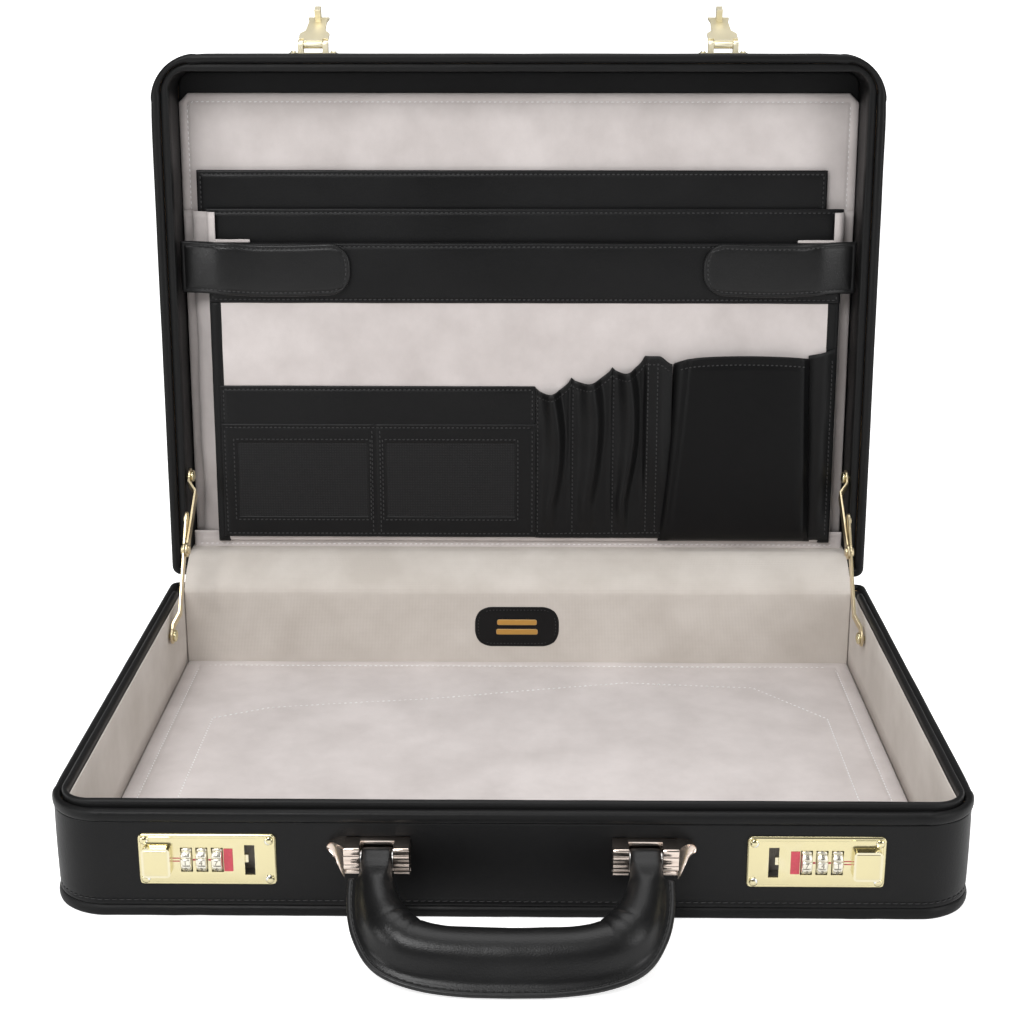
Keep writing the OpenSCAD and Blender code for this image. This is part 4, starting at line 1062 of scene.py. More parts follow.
def card_pocket():
    """A document pocket with a shorter card pocket in front that has two textured windows."""
    low, high = lid_box("card_pocket")
    place, mid = PLATE(high.y), (low.x + high.x) / 2 - 1.6
    card_top, shelf = high.z - 25.0, 1.15
    seams = (2.4,)
    back_h = band_height(shelf, seams, 0.12, 8.2)
    edge = (0, 0.3, 0.8, 1.4, 1.9, 2.4, 2.9, 3.6, 5.0)
    co, faces = panel(low.x, high.x, low.z, high.z, (1.2,) * 4, back_h, step=4, edge=edge)
    piece("document_pocket", wobble(co, 0.12, 40, 3.0), faces, LEATHER, "file_front",
          ["card_pocket"], place=place)
    win_y0, win_y1 = low.z + 14, low.z + 64
    windows = [(low.x + 10.5, mid - 6.0), (mid + 6.5, high.x - 14)]

    def front_h(d, x, y):
        h = shelf + 1.3 * (0.5 + 0.5 * (1 - math.exp(-d / 0.5)))
        h -= 0.35 * math.exp(-((d - 2.4) / 0.6) ** 2) + 0.5 * math.exp(-((x - mid) / 1.0) ** 2)
        for x0, x1 in windows:
            inside = min(x - x0, x1 - x, y - win_y0, win_y1 - y)
            h -= 0.75 / (1 + math.exp(-inside / 0.22))
        return h + 0.12 * noise.noise(Vector((x / 40, y / 40, 4.4)))

    co, faces = fine_panel(low.x, high.x, low.z, card_top, front_h, [v for w in windows for v in w] + [mid],
                           [win_y0, win_y1])
    piece("card_pocket_front", wobble(co, 0.12, 40, 5.0), faces, LEATHER, "file_front",
          place=place)
    paths = []
    far = edge_distance(low.x, high.x, low.z, card_top)
    surface = lambda x, y: front_h(far(x, y), x, y)
    for n, (x0, x1) in enumerate(windows):
        glass = lambda d, x, y: shelf + 0.62 + 0.25 * (1 - math.exp(-d / 0.4)) \
            + 0.25 * noise.noise(Vector((x / 26, y / 26, 6.6)))
        co, faces = panel(x0 - 0.4, x1 + 0.4, win_y0 - 0.4, win_y1 + 0.4, (1.0,) * 4, glass, back=shelf, step=4)
        piece(f"card_window_{n + 1}", co, faces, WINDOW, "file_front", place=place)
        paths.append(sewn_line(rounded_path(x0 - 2.2, x1 + 2.2, win_y0 - 2.2, win_y1 + 2.2, 0.8), surface))
    paths.append(sewn_line(line_points((low.x + 2.4, card_top - 2.4), (high.x - 2.4, card_top - 2.4), 200),
                           surface))
    paths.append(sewn_line(line_points((low.x + 2.4, low.z + 2.4), (high.x - 2.4, low.z + 2.4), 200), surface))
    for x in (mid - 2.6, mid + 2.6, high.x - 2.4, low.x + 2.4):
        paths.append(sewn_line(line_points((x, low.z + 3), (x, card_top - 3), 70), surface))
    far_b = edge_distance(low.x, high.x, low.z, high.z)
    surface_b = lambda x, y: back_h(far_b(x, y), x, y)
    rim = rounded_path(low.x + 2.4, high.x - 2.4, card_top + 1.5, high.z - 2.4, 0.5, sides="rtl")
    paths.append(sewn_line(rim, surface_b))
    co, faces = stitches(paths, pitch=2.9, length=1.9, width=0.75)
    piece("card_pocket_stitches", co, faces, THREAD_BLACK, "file_front", place=place)


def fine_panel(x0, x1, y0, y1, height, x_marks, y_marks):
    """A panel whose grid is also close together on both sides of the marks."""
    def lines(a, b, marks):
        got = list(axis_lines(a, b, edge=(0, 0.3, 0.8, 1.4, 1.9, 2.4, 2.9, 3.6, 5.0), step=4))
        for m in marks:
            got = [g for g in got if abs(g - m) > 1.6] + [m + o for o in (-1.2, -0.6, -0.25, 0, 0.25, 0.6, 1.2)]
        return sorted(got)
    xs, ys = lines(x0, x1, x_marks), lines(y0, y1, y_marks)
    far = edge_distance(x0, x1, y0, y1)
    nx, ny = len(xs), len(ys)
    front = [(x, y, height(far(x, y), x, y)) for y in ys for x in xs]
    rear = [(x, y, 0.3) for y in ys for x in xs]
    total, faces = nx * ny, []
    for j in range(ny - 1):
        for i in range(nx - 1):
            a = j * nx + i
            faces.append((a, a + 1, a + nx + 1, a + nx))
            faces.append((total + a, total + a + nx, total + a + nx + 1, total + a + 1))
    rim = list(range(nx)) + [j * nx + nx - 1 for j in range(1, ny)]
    rim += [(ny - 1) * nx + i for i in range(nx - 2, -1, -1)] + [j * nx for j in range(ny - 2, 0, -1)]
    for a, b in zip(rim, rim[1:] + rim[:1]):
        faces.append((a, total + a, total + b, b))
    return front + rear, faces


def smooth_step(a, b, x):
    t = min(1.0, max(0.0, (x - a) / (b - a)))
    return t * t * (3 - 2 * t)


def pen_pockets():
    """Three gathered pen pockets with stepped tops, each drawn to a ridge, and a sewn post beside them."""
    low, high = lid_box("pen_pockets")
    place, depth = PLATE(high.y), high.y - low.y
    x0, x1 = low.x - 0.9, low.x + 87.6
    seams = [x0, x0 + 23.0, x0 + 49.5, x0 + 70.5]
    post = seams[3]

    def share(x):
        k = min(2, sum(x >= b for b in seams[1:]))
        return k, (x - seams[k]) / (seams[k + 1] - seams[k])

    def top(x):
        k, q = share(min(x, post - 0.01))
        u = low.z + 99.6 + 7.0 * (k + q ** 2.4) - 2.8 * math.sin(math.pi * q)
        u += 1.2 * sum(math.exp(-((x - b) / 1.4) ** 2) for b in seams[:3])
        return u + 2.2 * smooth_step(post - 3, post + 1, x) - 5.5 * smooth_step(post + 9, x1, x)

    def height(s, v):
        x = x0 + s * (x1 - x0)
        k, q = share(min(x, post - 0.01))
        crest = 0.36 + 0.24 * math.sin(math.pi * min(1, 0.12 + 1.15 * (1 - v))) + 0.03 * math.sin(5 * v + 2 * k)
        full = (0.35 + 0.65 * v ** 0.8) * (depth - 1.8) * smooth_step(0.0, 0.16, v)
        rise = smooth_step(0.05, crest, q) ** 1.3
        fall = 1 - smooth_step(crest + 0.02, crest + 0.30, q)
        lift = rise * fall + 0.16 * smooth_step(0.86, 0.97, q)
        h = 1.45 + full * lift * (1 - smooth_step(post - 2, post, x))
        h += 4.6 * smooth_step(post - 1.5, post + 2.5, x) * (1 - 0.55 * smooth_step(post + 10, x1, x)) \
            * smooth_step(0.02, 0.5, v)
        h -= 0.5 * math.exp(-((v - 0.955) / 0.012) ** 2)
        h -= 0.5 * sum(math.exp(-((x - b - 1.2) / 0.8) ** 2) for b in seams[:3])
        h -= 0.35 * sum(math.exp(-((x - b) / 0.7) ** 2) for b in (post + 2.2, post + 8.4))
        return h + 0.4 * noise.noise(Vector((x / 12, v * 6, 3.0 + k))) * smooth_step(0.05, 0.2, v)

    co, faces = drape(x0, x1, low.z, top, height, nx=150, nv=60)
    piece("pen_pocket_leather", co, faces, TRIM, "file_front", ["pen_pockets"], place=place)
    paths = []
    for x in (*[b + 1.2 for b in seams[:3]], post + 2.2, post + 8.4):
        s = (x - x0) / (x1 - x0)
        run = [(x, low.z + v / 60 * (top(x) - low.z), height(s, v / 60) + 0.2) for v in range(2, 59)]
        paths.append([(p, (0, 0, 1)) for p in run])
    hem = [(x0 + s / 120 * (x1 - x0), s / 120) for s in range(2, 119)]
    for level in (0.955, 0.03):
        paths.append([((x, low.z + level * (top(x) - low.z), height(s, level) + 0.2), (0, 0, 1)) for x, s in hem])
    co, faces = stitches(paths, pitch=2.8, length=1.8, width=0.75)
    piece("pen_pocket_stitches", co, faces, THREAD_BLACK, "file_front", place=place)


def pouch():
    """The deep soft pocket on the right, wider at its foot, and the pleat beside it."""
    low, high = lid_box("pouch")
    place, depth = PLATE(high.y), high.y - low.y
    x0, x1 = low.x + 1.2, 190.0
    tall = 124.0

    def top(x):
        s = (x - x0) / (x1 - x0)
        return low.z + tall + 1.2 * math.sin(math.pi * s) - 5.0 * math.exp(-s / 0.08) \
            - 1.5 * math.exp(-(1 - s) / 0.05)

    def height(s, v):
        left, right = 1 - math.exp(-s / 0.045), 1 - math.exp(-(1 - s) / 0.028)
        foot = 1 - math.exp(-v / 0.035)
        body = (depth - 0.7) * (0.80 + 0.20 * math.sin(math.pi * min(1, 0.15 + v * 0.8)))
        h = body * (left * right * foot) ** 0.8
        h -= 0.5 * math.exp(-((v - 0.955) / 0.010) ** 2) * left * right
        h -= 0.9 * math.exp(-((s - 0.055 - 0.05 * v) / 0.012) ** 2)
        h -= 0.7 * math.exp(-((s - 0.965) / 0.010) ** 2)
        h += 0.55 * noise.noise(Vector((s * 3.0, v * 2.4, 8.8))) * left * right
        return max(0.9, h)

    def slide(s, v):
        flare = (1 - v) ** 1.3
        return -8.0 * flare * (1 - s) ** 2 + 4.0 * flare * s ** 3

    co, faces = drape(x0, x1, low.z, top, height, nx=90, nv=80, slide=slide, thick=1.6)
    piece("pouch_leather", co, faces, POUCH, "file_front", ["pouch"], place=place)
    s_run = [i / 90 for i in range(4, 87)]
    run = [((x0 + s * (x1 - x0), low.z + 0.955 * (top(x0 + s * (x1 - x0)) - low.z), height(s, 0.955) + 0.2),
            (0, 0, 1)) for s in s_run]
    side_x0, side_x1 = x1 - 1.2, high.x
    rise = lambda x: low.z + tall + 0.5 + 4.5 * (x - side_x0) / (side_x1 - side_x0)
    fold = lambda s, v: 1.2 + 3.0 * math.sin(math.pi * s) ** 1.5 * smooth_step(0, 0.2, v) \
        + 0.3 * noise.noise(Vector((s * 2, v * 5, 1.8)))
    co, faces = drape(side_x0, side_x1, low.z + 1, rise, fold, nx=20, nv=50)
    piece("pouch_side_leather", co, faces, TRIM, "file_front", place=place)
    side = [((side_x1 - 2.0, low.z + 4 + v * (tall - 6) / 60, fold(0.83, v / 60) + 0.15), (0, 0, 1))
            for v in range(61)]
    co, faces = stitches([run, side], pitch=2.9, length=1.9, width=0.75)
    piece("pouch_stitches", co, faces, THREAD_BLACK, "file_front", place=place)


def strap(side):
    """A padded strap from the lid's wall to the snap on the file's band, rounded at its tip."""
    sign = -1 if side == "left" else 1
    low, high = lid_box(f"strap_{side}")
    root = max(abs(low.x), abs(high.x))
    length, half = high.x - low.x, (high.z - low.z) / 2
    mid_u = (low.z + high.z) / 2
    base_h = band_height(1.7, (2.6,), 0.15, 6.0 + sign)

    def bend(x, y, h):
        s = x / length
        droop = -2.2 * smooth_step(0.1, 0.5, s) * (1 - 0.5 * smooth_step(0.6, 1.0, s))
        lift = -0.4 - 3.6 * (1 - smooth_step(0.0, 0.24, s)) + 1.9 * math.exp(-((s - 0.27) / 0.10) ** 2)
        return sign * (root - x), mid_u + y + droop, h + lift

    co, faces = panel(0, length, -half, half, (0.8, 14, 14, 0.8), base_h, back=-0.3, step=2.5,
                      edge=(0, 0.3, 0.8, 1.5, 2.1, 2.6, 3.1, 3.8, 5.5))
    co = [bend(*p) for p in co]
    place = PLATE(high.y)
    piece(f"strap_{side}_leather", co, faces, SUPPLE, f"strap_{side}", [f"strap_{side}"],
          place=place)
    far = edge_distance(-9, length, -half, half)
    path = rounded_path(1, length - 2.6, -half + 2.6, half - 2.6, 11.4, sides="brt", step=0.8)
    run = [(bend(x, y, base_h(2.6, x, y) + 0.12), (0, 0, 1)) for x, y in path]
    co, faces = stitches([run], pitch=3.0, length=2.0, width=0.85)
    piece(f"strap_{side}_stitches", co, faces, THREAD_BLACK, f"strap_{side}", place=place)


def gusset(side):
    """The folded suede side of the file: sewn flat to the lid's board, then slanting out to the front sheet."""
    sign = -1 if side == "left" else 1
    low, high = lid_box("file_gussets")
    panel_t = lid_box("lid_lining_panel")[0].y
    folder_low, folder_high = lid_box("folio_front")
    edge_x = abs(folder_low.x) if side == "left" else folder_high.x
    outer, crease = 216.2, 210.2
    top = lid_box("folio_middle")[1].z - 2
    shape = [(outer, panel_t - 0.5), (outer - 1.6, panel_t - 1.1), (crease + 0.8, panel_t - 1.2),
             (crease - 0.3, panel_t - 2.2), (crease - 1.4, panel_t - 5.5),
             (edge_x + 0.6, folder_high.y + 4.0), (edge_x - 1.6, folder_high.y + 0.9), (edge_x - 5, folder_high.y + 0.7)]
    shape = smooth_curve(shape, 5)
    rows, n = 46, len(shape)
    thick = 0.9
    tangent = np.gradient(np.array(shape), axis=0)
    tangent = tangent / np.linalg.norm(tangent, axis=1)[:, None]
    co = []
    for layer in (0, 1):
        for j in range(rows + 1):
            u = low.z + (top - low.z) * j / rows
            for i, (x, t) in enumerate(shape):
                share = i / (n - 1)
                ripple = 0.8 * math.sin(math.pi * share) * noise.noise(Vector((share * 3, u / 22, 2.0 + sign)))
                px = x - tangent[i][1] * (thick * layer + ripple)
                pt = t + tangent[i][0] * (thick * layer + ripple)
                co.append((sign * px, pt, u))
    faces, total = [], (rows + 1) * n
    for j in range(rows):
        for i in range(n - 1):
            a = j * n + i
            faces.append((a, a + 1, a + n + 1, a + n))
            faces.append((total + a, total + a + n, total + a + n + 1, total + a + 1))
    rim = list(range(n)) + [j * n + n - 1 for j in range(1, rows + 1)]
    rim += [rows * n + i for i in range(n - 2, -1, -1)] + [j * n for j in range(rows - 1, 0, -1)]
    for a, b in zip(rim, rim[1:] + rim[:1]):
        faces.append((a, total + a, total + b, b))
    start = IN_LID @ Vector((sign * 208, panel_t - 3.0, 120)) * MM
    end = IN_LID @ Vector((sign * 208, folder_high.y + 1.6, 120)) * MM
    stands = ["file_gussets"] if side == "left" else []
    piece(f"file_gusset_{side}", co, faces, SUEDE, "lid", stands, place=IN_LID,
          blend=("file_front", start, end))
    seam = [[((sign * (outer - off), panel_t - 1.35, low.z + 2 + i * 3), (0, -1, 0)) for i in range(70)]
            for off in (1.6, 4.6)]
    co, faces = stitches(seam, pitch=3.4, length=1.9, width=0.75)
    piece(f"file_gusset_{side}_stitches", co, faces, THREAD_WHITE, "lid", place=IN_LID)


def smooth_curve(points, cuts):
    """A Catmull-Rom curve through plan points."""
    pts = [np.array(p, float) for p in points]
    pts = [2 * pts[0] - pts[1]] + pts + [2 * pts[-1] - pts[-2]]
    out = []
    for k in range(1, len(pts) - 2):
        a, b, c, d = pts[k - 1:k + 3]
        for i in range(cuts):
            t = i / cuts
            out.append(0.5 * ((2 * b) + (c - a) * t + (2 * a - 5 * b + 4 * c - d) * t * t
                              + (3 * b - a - 3 * c + d) * t ** 3))
    out.append(pts[-2])
    return [tuple(float(v) for v in p) for p in out]


# ---------------------------------------------------------------- handle


def even_steps(path, step):
    """The same path with points at even distances."""
    along = np.concatenate([[0], np.cumsum(np.linalg.norm(np.diff(path, axis=0), axis=1))])
    marks = np.linspace(0, along[-1], int(round(along[-1] / step)) + 1)
    return np.stack([np.interp(marks, along, path[:, k]) for k in (0, 1)], axis=1)


def handle_rim(leg_x):
    """The flange's outer edge, from the left leg round the grip to the right leg."""
    half = [(leg_x + 13.3, -10.6), (leg_x + 13.1, -23), (leg_x + 11.6, -35), (leg_x + 8.3, -46),
            (leg_x + 1.8, -57.8), (leg_x - 7.6, -65.6), (41, -71.4), (21.5, -74.2), (0, -74.8)]
    right = smooth_curve(half, 8)
    return np.array([(-x, y) for x, y in right] + list(reversed(right[:-1])))


def reach_to(rim, p, n):
    """Distance from a point along a direction to the rim."""
    best = 60.0
    for a, b in zip(rim, rim[1:]):
        d = b - a
        det = n[0] * d[1] - n[1] * d[0]
        if abs(det) < 1e-9:
            continue
        w = a - p
        t = (w[0] * d[1] - w[1] * d[0]) / det
        k = (w[0] * n[1] - w[1] * n[0]) / det
        if t > 3 and -0.02 <= k <= 1.02:
            best = min(best, t)
    return best


def grip_section(across, upright, reach, flange, square):
    """Upper half of a teardrop section, from the inner side over the padding to the flange's edge."""
    half, power = [], 2 / square
    for i in range(15):
        a = math.pi - (math.pi - 0.77) * i / 14
        half.append((across * math.copysign(abs(math.cos(a)) ** power, math.cos(a)),
                     upright * math.sin(a) ** power))
    c0, w0 = half[-1]
    foot = [(3.6, 0.3, 1.3), (3.0, 0.4, 1.1), (2.6, 0.5, 0.82), (2.2, 0.6, 1.1), (1.4, 0.75, 1.3),
            (0.6, 0.88, 1.15), (0.15, 0.96, 0.7)]
    places = [max(reach - o, c0 + (reach - c0) * g) for o, g, _ in foot]
    c1, w1 = places[0], foot[0][2]
    span = c1 - c0
    for i in range(1, 7):
        t = i / 7
        c = c0 + span * t
        sewn = (2 * t ** 3 - 3 * t * t + 1) * w0 + (t ** 3 - 2 * t * t + t) * span * -0.95 \
            + (3 * t * t - 2 * t ** 3) * w1
        half.append((c, sewn))
    half += [(c, w) for c, (_, _, w) in zip(places, foot)]
    out = []
    for c, w in half:
        bare = upright * (1 - abs(c / across) ** square) ** (1 / square) if abs(c) < across else 0.0
        out.append((c, bare + (w - bare) * flange if c > c0 else w))
    return out


def handle():
    """A padded leather grip: the leather wraps each pivot, gathers at the corners and is sewn outside."""
    pivot = Vector(JOINTS["handle_swing"]["pos_m"]) / MM
    place = Matrix.Translation(pivot) @ Matrix.Rotation(math.radians(HANDLE_DROP), 4, "X")
    leg_x, grip_r, leg_r = 64.5, 12.6, 8.0
    half = [(leg_x, 0), (leg_x, -8), (leg_x - 0.5, -15), (leg_x - 1.9, -24), (leg_x - 4.6, -33), (leg_x - 9.6, -41.5),
            (leg_x - 18, -48), (leg_x - 30, -51.2), (leg_x - 46, -52.5), (0, -53)]
    half = smooth_curve(half, 12)
    path = np.array([(-x, y) for x, y in half] + list(reversed(half[:-1])))
    path = even_steps(path, 1.15)
    along = np.concatenate([[0], np.cumsum(np.linalg.norm(np.diff(path, axis=0), axis=1))])
    tangent = np.gradient(path, axis=0)
    tangent = tangent / np.linalg.norm(tangent, axis=1)[:, None]
    rim, turn = handle_rim(leg_x), 45.0
    co, faces, seam = [], [], []
    for k, (p, t) in enumerate(zip(path, tangent)):
        s = min(along[k], along[-1] - along[k])
        out = np.array([t[1], -t[0]])
        r = leg_r + (grip_r - leg_r) * smooth_step(6.0, 46.0, s) + 0.8 * math.exp(-((s - turn) / 12) ** 2)
        across = 7.7 + (r - 7.7) * smooth_step(9.5, 17.0, s)
        upright = 5.7 + (r - 5.7) * smooth_step(3.0, 16.0, s)
        square = 2.0 + 3.0 * (1 - smooth_step(4.0, 18.0, s))
        flange = smooth_step(9.8, 11.6, s)
        edge = across + (reach_to(rim, p, out) - across) * flange
        half = grip_section(across, upright, edge, flange, square)
        ring = half + [(edge, 0.0)] + [(c, -w) for c, w in reversed(half[1:])]
        q = len(ring)
        for c, w in ring:
            inner = max(0.0, min(1.0, (edge * 0.3 - c) / across))
            folds = sum(math.exp(-((s - turn + o) / 1.1) ** 2) for o in (-9, -2.5, 5.5))
            gather = (0.6 * folds * inner + 0.3 * noise.noise(Vector((p[0] / 15, p[1] / 15, w / 9)))
                      * min(1, abs(w) / 3)) * (0.0 if s < 8 else 1.0)
            size = max(0.1, math.hypot(c, w))
            co.append((*(p + out * (c - gather * c / size)), w - gather * w / size))
        seam.append((*(p + out * (edge - 2.6)), flange))
    n = len(path)
    for k in range(n - 1):
        for i in range(q):
            j = (i + 1) % q
            faces.append((k * q + i, k * q + j, (k + 1) * q + j, (k + 1) * q + i))
    for base in (0, (n - 1) * q):
        rings = [base]
        for c in range(1, 6):
            a = math.radians(90 * c / 6)
            first = len(co)
            co += [(co[base + i][0], 5.6 * math.sin(a), co[base + i][2] * math.cos(a)) for i in range(q)]
            rings.append(first)
        for ra, rb in zip(rings, rings[1:]):
            for i in range(q):
                j = (i + 1) % q
                faces.append((ra + j, ra + i, rb + i, rb + j))
        faces.append([rings[-1] + i for i in range(q)])
    piece("handle_grip_leather", co, faces, SUPPLE, "handle", ["handle_grip"], place=place)
    line = [(x, y) for x, y, f in seam if f > 0.99]
    paths = [[((x, y, z), (0, 0, z)) for x, y in line] for z in (0.95, -0.95)]
    co, faces = stitches(paths, pitch=3.7, length=2.3, width=1.0)
    piece("handle_stitches", co, faces, THREAD_DARK, "handle", place=place)


# ---------------------------------------------------------------- hardware built here


def FRONT(y):
    """Local (x, z, h) becomes (x, y - h, z): sheets on the front wall, h rising towards the viewer."""
    return Matrix(((1, 0, 0, 0), (0, 0, -1, y), (0, 1, 0, 0), (0, 0, 0, 1)))


def join(parts):
    """Puts several closed meshes into one list of points and faces."""
    co, faces = [], []
    for c, f in parts:
        first = len(co)
        co += [tuple(p) for p in c]
        faces += [tuple(first + i for i in face) for face in f]
    return co, faces


def prism(profile, x0, x1, bevel=0.3, segments=2):
    """A profile of (y, z) run along X, with its corners broken."""
    bm = bmesh.new()
    ends = [[bm.verts.new((x, y, z)) for y, z in profile] for x in (x0, x1)]
    bm.faces.new(ends[0])
    bm.faces.new(list(reversed(ends[1])))
    n = len(profile)
    for i in range(n):
        j = (i + 1) % n
        bm.faces.new((ends[0][j], ends[0][i], ends[1][i], ends[1][j]))
    bmesh.ops.recalc_face_normals(bm, faces=bm.faces)
    sharp = [e for e in bm.edges if e.calc_face_angle(0) > math.radians(40)]
    if bevel:
        bmesh.ops.bevel(bm, geom=sharp, offset=bevel, segments=segments, profile=0.6, affect="EDGES",
                        clamp_overlap=True)
    bm.verts.index_update()
    co = [tuple(v.co) for v in bm.verts]
    faces = [tuple(v.index for v in f.verts) for f in bm.faces]
    bm.free()
    return co, faces


def block(x0, x1, y0, y1, z0, z1, bevel=0.3):
    return prism([(y0, z0), (y1, z0), (y1, z1), (y0, z1)], min(x0, x1), max(x0, x1), bevel)


def dome(radius, rise, rings=6, n=28):
    """A low rivet head on z = 0, with a small flat foot."""
    co = [(radius * math.cos(math.tau * i / n), radius * math.sin(math.tau * i / n), -0.3) for i in range(n)]
    for k in range(rings):
        a = math.pi / 2 * k / rings
        r, z = radius * math.cos(a), rise * math.sin(a)
        co += [(r * math.cos(math.tau * i / n), r * math.sin(math.tau * i / n), z) for i in range(n)]
    co.append((0, 0, rise))
    faces = [[i for i in reversed(range(n))]]
    for k in range(rings):
        for i in range(n):
            j = (i + 1) % n
            faces.append((k * n + i, k * n + j, (k + 1) * n + j, (k + 1) * n + i))
    top = rings * n
    faces += [(top + i, top + (i + 1) % n, len(co) - 1) for i in range(n)]
    return co, faces


def moved(mesh, x=0.0, y=0.0, z=0.0):
    co, faces = mesh
    return [(a + x, b + y, c + z) for a, b, c in co], faces


def lock_plate(side):
    """A pressed plate with a turned-down edge, its windows cut for the dials, the hasp slot and the bolt."""
    sign = -1 if side == "left" else 1
    low, high = base_box(f"lock_plate_{side}")
    thick = high.y - low.y

    def height(d, x, y):
        h = thick * (0.25 + 0.75 * math.sin(math.pi / 2 * min(1, d / 1.1)) ** 0.8)
        return h - 0.16 * math.exp(-((d - 2.0) / 0.35) ** 2)

    co, faces = panel(low.x, high.x, low.z, high.z, (3.0,) * 4, height, step=6,
                      edge=(0, 0.15, 0.35, 0.6, 0.85, 1.1, 1.5, 1.75, 2.0, 2.25, 2.6))
    plate = piece(f"lock_plate_{side}_pressed", co, faces, BRASS, "base",
                  [f"lock_plate_{side}"], place=FRONT(high.y))
    mid_z, y0, y1 = (low.z + high.z) / 2, low.y - 2, high.y + 2
    slot_x = abs(JOINTS[f"hasp_{side}_pivot"]["pos_m"][0]) / MM
    bolt = [abs(v.co.x) / MM for v in frame["nodes"][f"lock_slider_{side}"].data.vertices
            if v.co.y / MM < low.y - 1]
    button = (min(bolt) + max(bolt)) / 2
    holes = [(slot_x - 2.5, slot_x + 2.5, 8.0), (button - 2.5, button + 5.0, 2.3)]
    for i in (1, 2, 3):
        a, b = base_box(f"dial_{side}_{i}")
        holes.append((min(abs(a.x), abs(b.x)) - 0.3, max(abs(a.x), abs(b.x)) + 0.3, 6.5))
    cut_boxes(plate, [((min(sign * a, sign * b), y0, mid_z - h), (max(sign * a, sign * b), y1, mid_z + h))
                      for a, b, h in holes])
    sharpen(plate, 35)
    rivets = []
    for x in (low.x + 3.6, high.x - 3.6):
        for z in (low.z + 3.6, high.z - 3.6):
            rivets.append(moved(dome(2.15, 1.25), x, z, 0.0))
    co, faces = join(rivets)
    piece(f"lock_rivets_{side}", co, faces, SILVER, "base", place=FRONT(low.y - 0.02))
    front = low.y
    dial_x = sorted(abs(base_box(f"dial_{side}_{i}")[0].x + base_box(f"dial_{side}_{i}")[1].x) / 2
                    for i in (1, 2, 3))
    marks = [block(sign * (x + 3.1), sign * (x + 4.4), front - 0.14, front + 0.1, mid_z - 0.45, mid_z + 0.45, 0.05)
             for x in dial_x[:2]]
    tip, root = dial_x[2] + 3.1, button - 7.3
    for up in (-1, 1):
        marks.append(block(sign * tip, sign * root, front - 0.14, front + 0.1, mid_z + up * 0.8 - 0.25,
                           mid_z + up * 0.8 + 0.25, 0.05))
    co, faces = join(marks)
    piece(f"lock_index_marks_{side}", co, faces, FLAG, "base", smooth=False)
    button_cap(side, sign, button, mid_z, low.y)


def button_cap(side, sign, centre, mid_z, front):
    """The sliding button: a tall block with broad bevels, over the CAD button."""
    low_y = base_box(f"lock_slider_{side}")[0].y
    rise = front - low_y

    def height(d, x, y):
        return (rise + 0.1) * min(1.0, 0.12 + 0.88 * math.sin(math.pi / 2 * min(1, d / 1.5)) ** 0.7) \
            - 0.10 * math.exp(-((d - 2.4) / 0.3) ** 2)

    half_x, half_z = 7.0, 7.85
    co, faces = panel(-half_x, half_x, -half_z, half_z, (2.4,) * 4, height, back=0.02, step=3,
                      edge=(0, 0.08, 0.2, 0.4, 0.65, 0.95, 1.25, 1.5, 1.9, 2.15, 2.4, 2.65, 3.0))
    piece(f"lock_button_{side}", co, faces, BRASS, f"slider_{side}",
          place=FRONT(front - 0.05) @ Matrix.Translation((sign * centre, mid_z, 0)))


def digit_shapes(size):
    """Closed meshes of the ten digits, centred, face up."""
    shapes = []
    for d in range(10):
        curve = bpy.data.curves.new("digit", "FONT")
        curve.body, curve.size, curve.extrude, curve.resolution_u = str(d), size, 0.1, 3
        curve.align_x, curve.align_y = "CENTER", "CENTER"
        obj = bpy.data.objects.new("digit", curve)
        bpy.context.scene.collection.objects.link(obj)
        bpy.context.view_layer.update()
        mesh = bpy.data.meshes.new_from_object(obj.evaluated_get(bpy.context.evaluated_depsgraph_get()))
        bm = bmesh.new()
        bm.from_mesh(mesh)
        bmesh.ops.remove_doubles(bm, verts=bm.verts, dist=1e-4)
        bm.verts.index_update()
        co = np.array([v.co for v in bm.verts])
        co[:, :2] -= (co[:, :2].min(0) + co[:, :2].max(0)) / 2
        shapes.append((co, [tuple(v.index for v in f.verts) for f in bm.faces]))
        bm.free()
        bpy.data.objects.remove(obj)
    return shapes


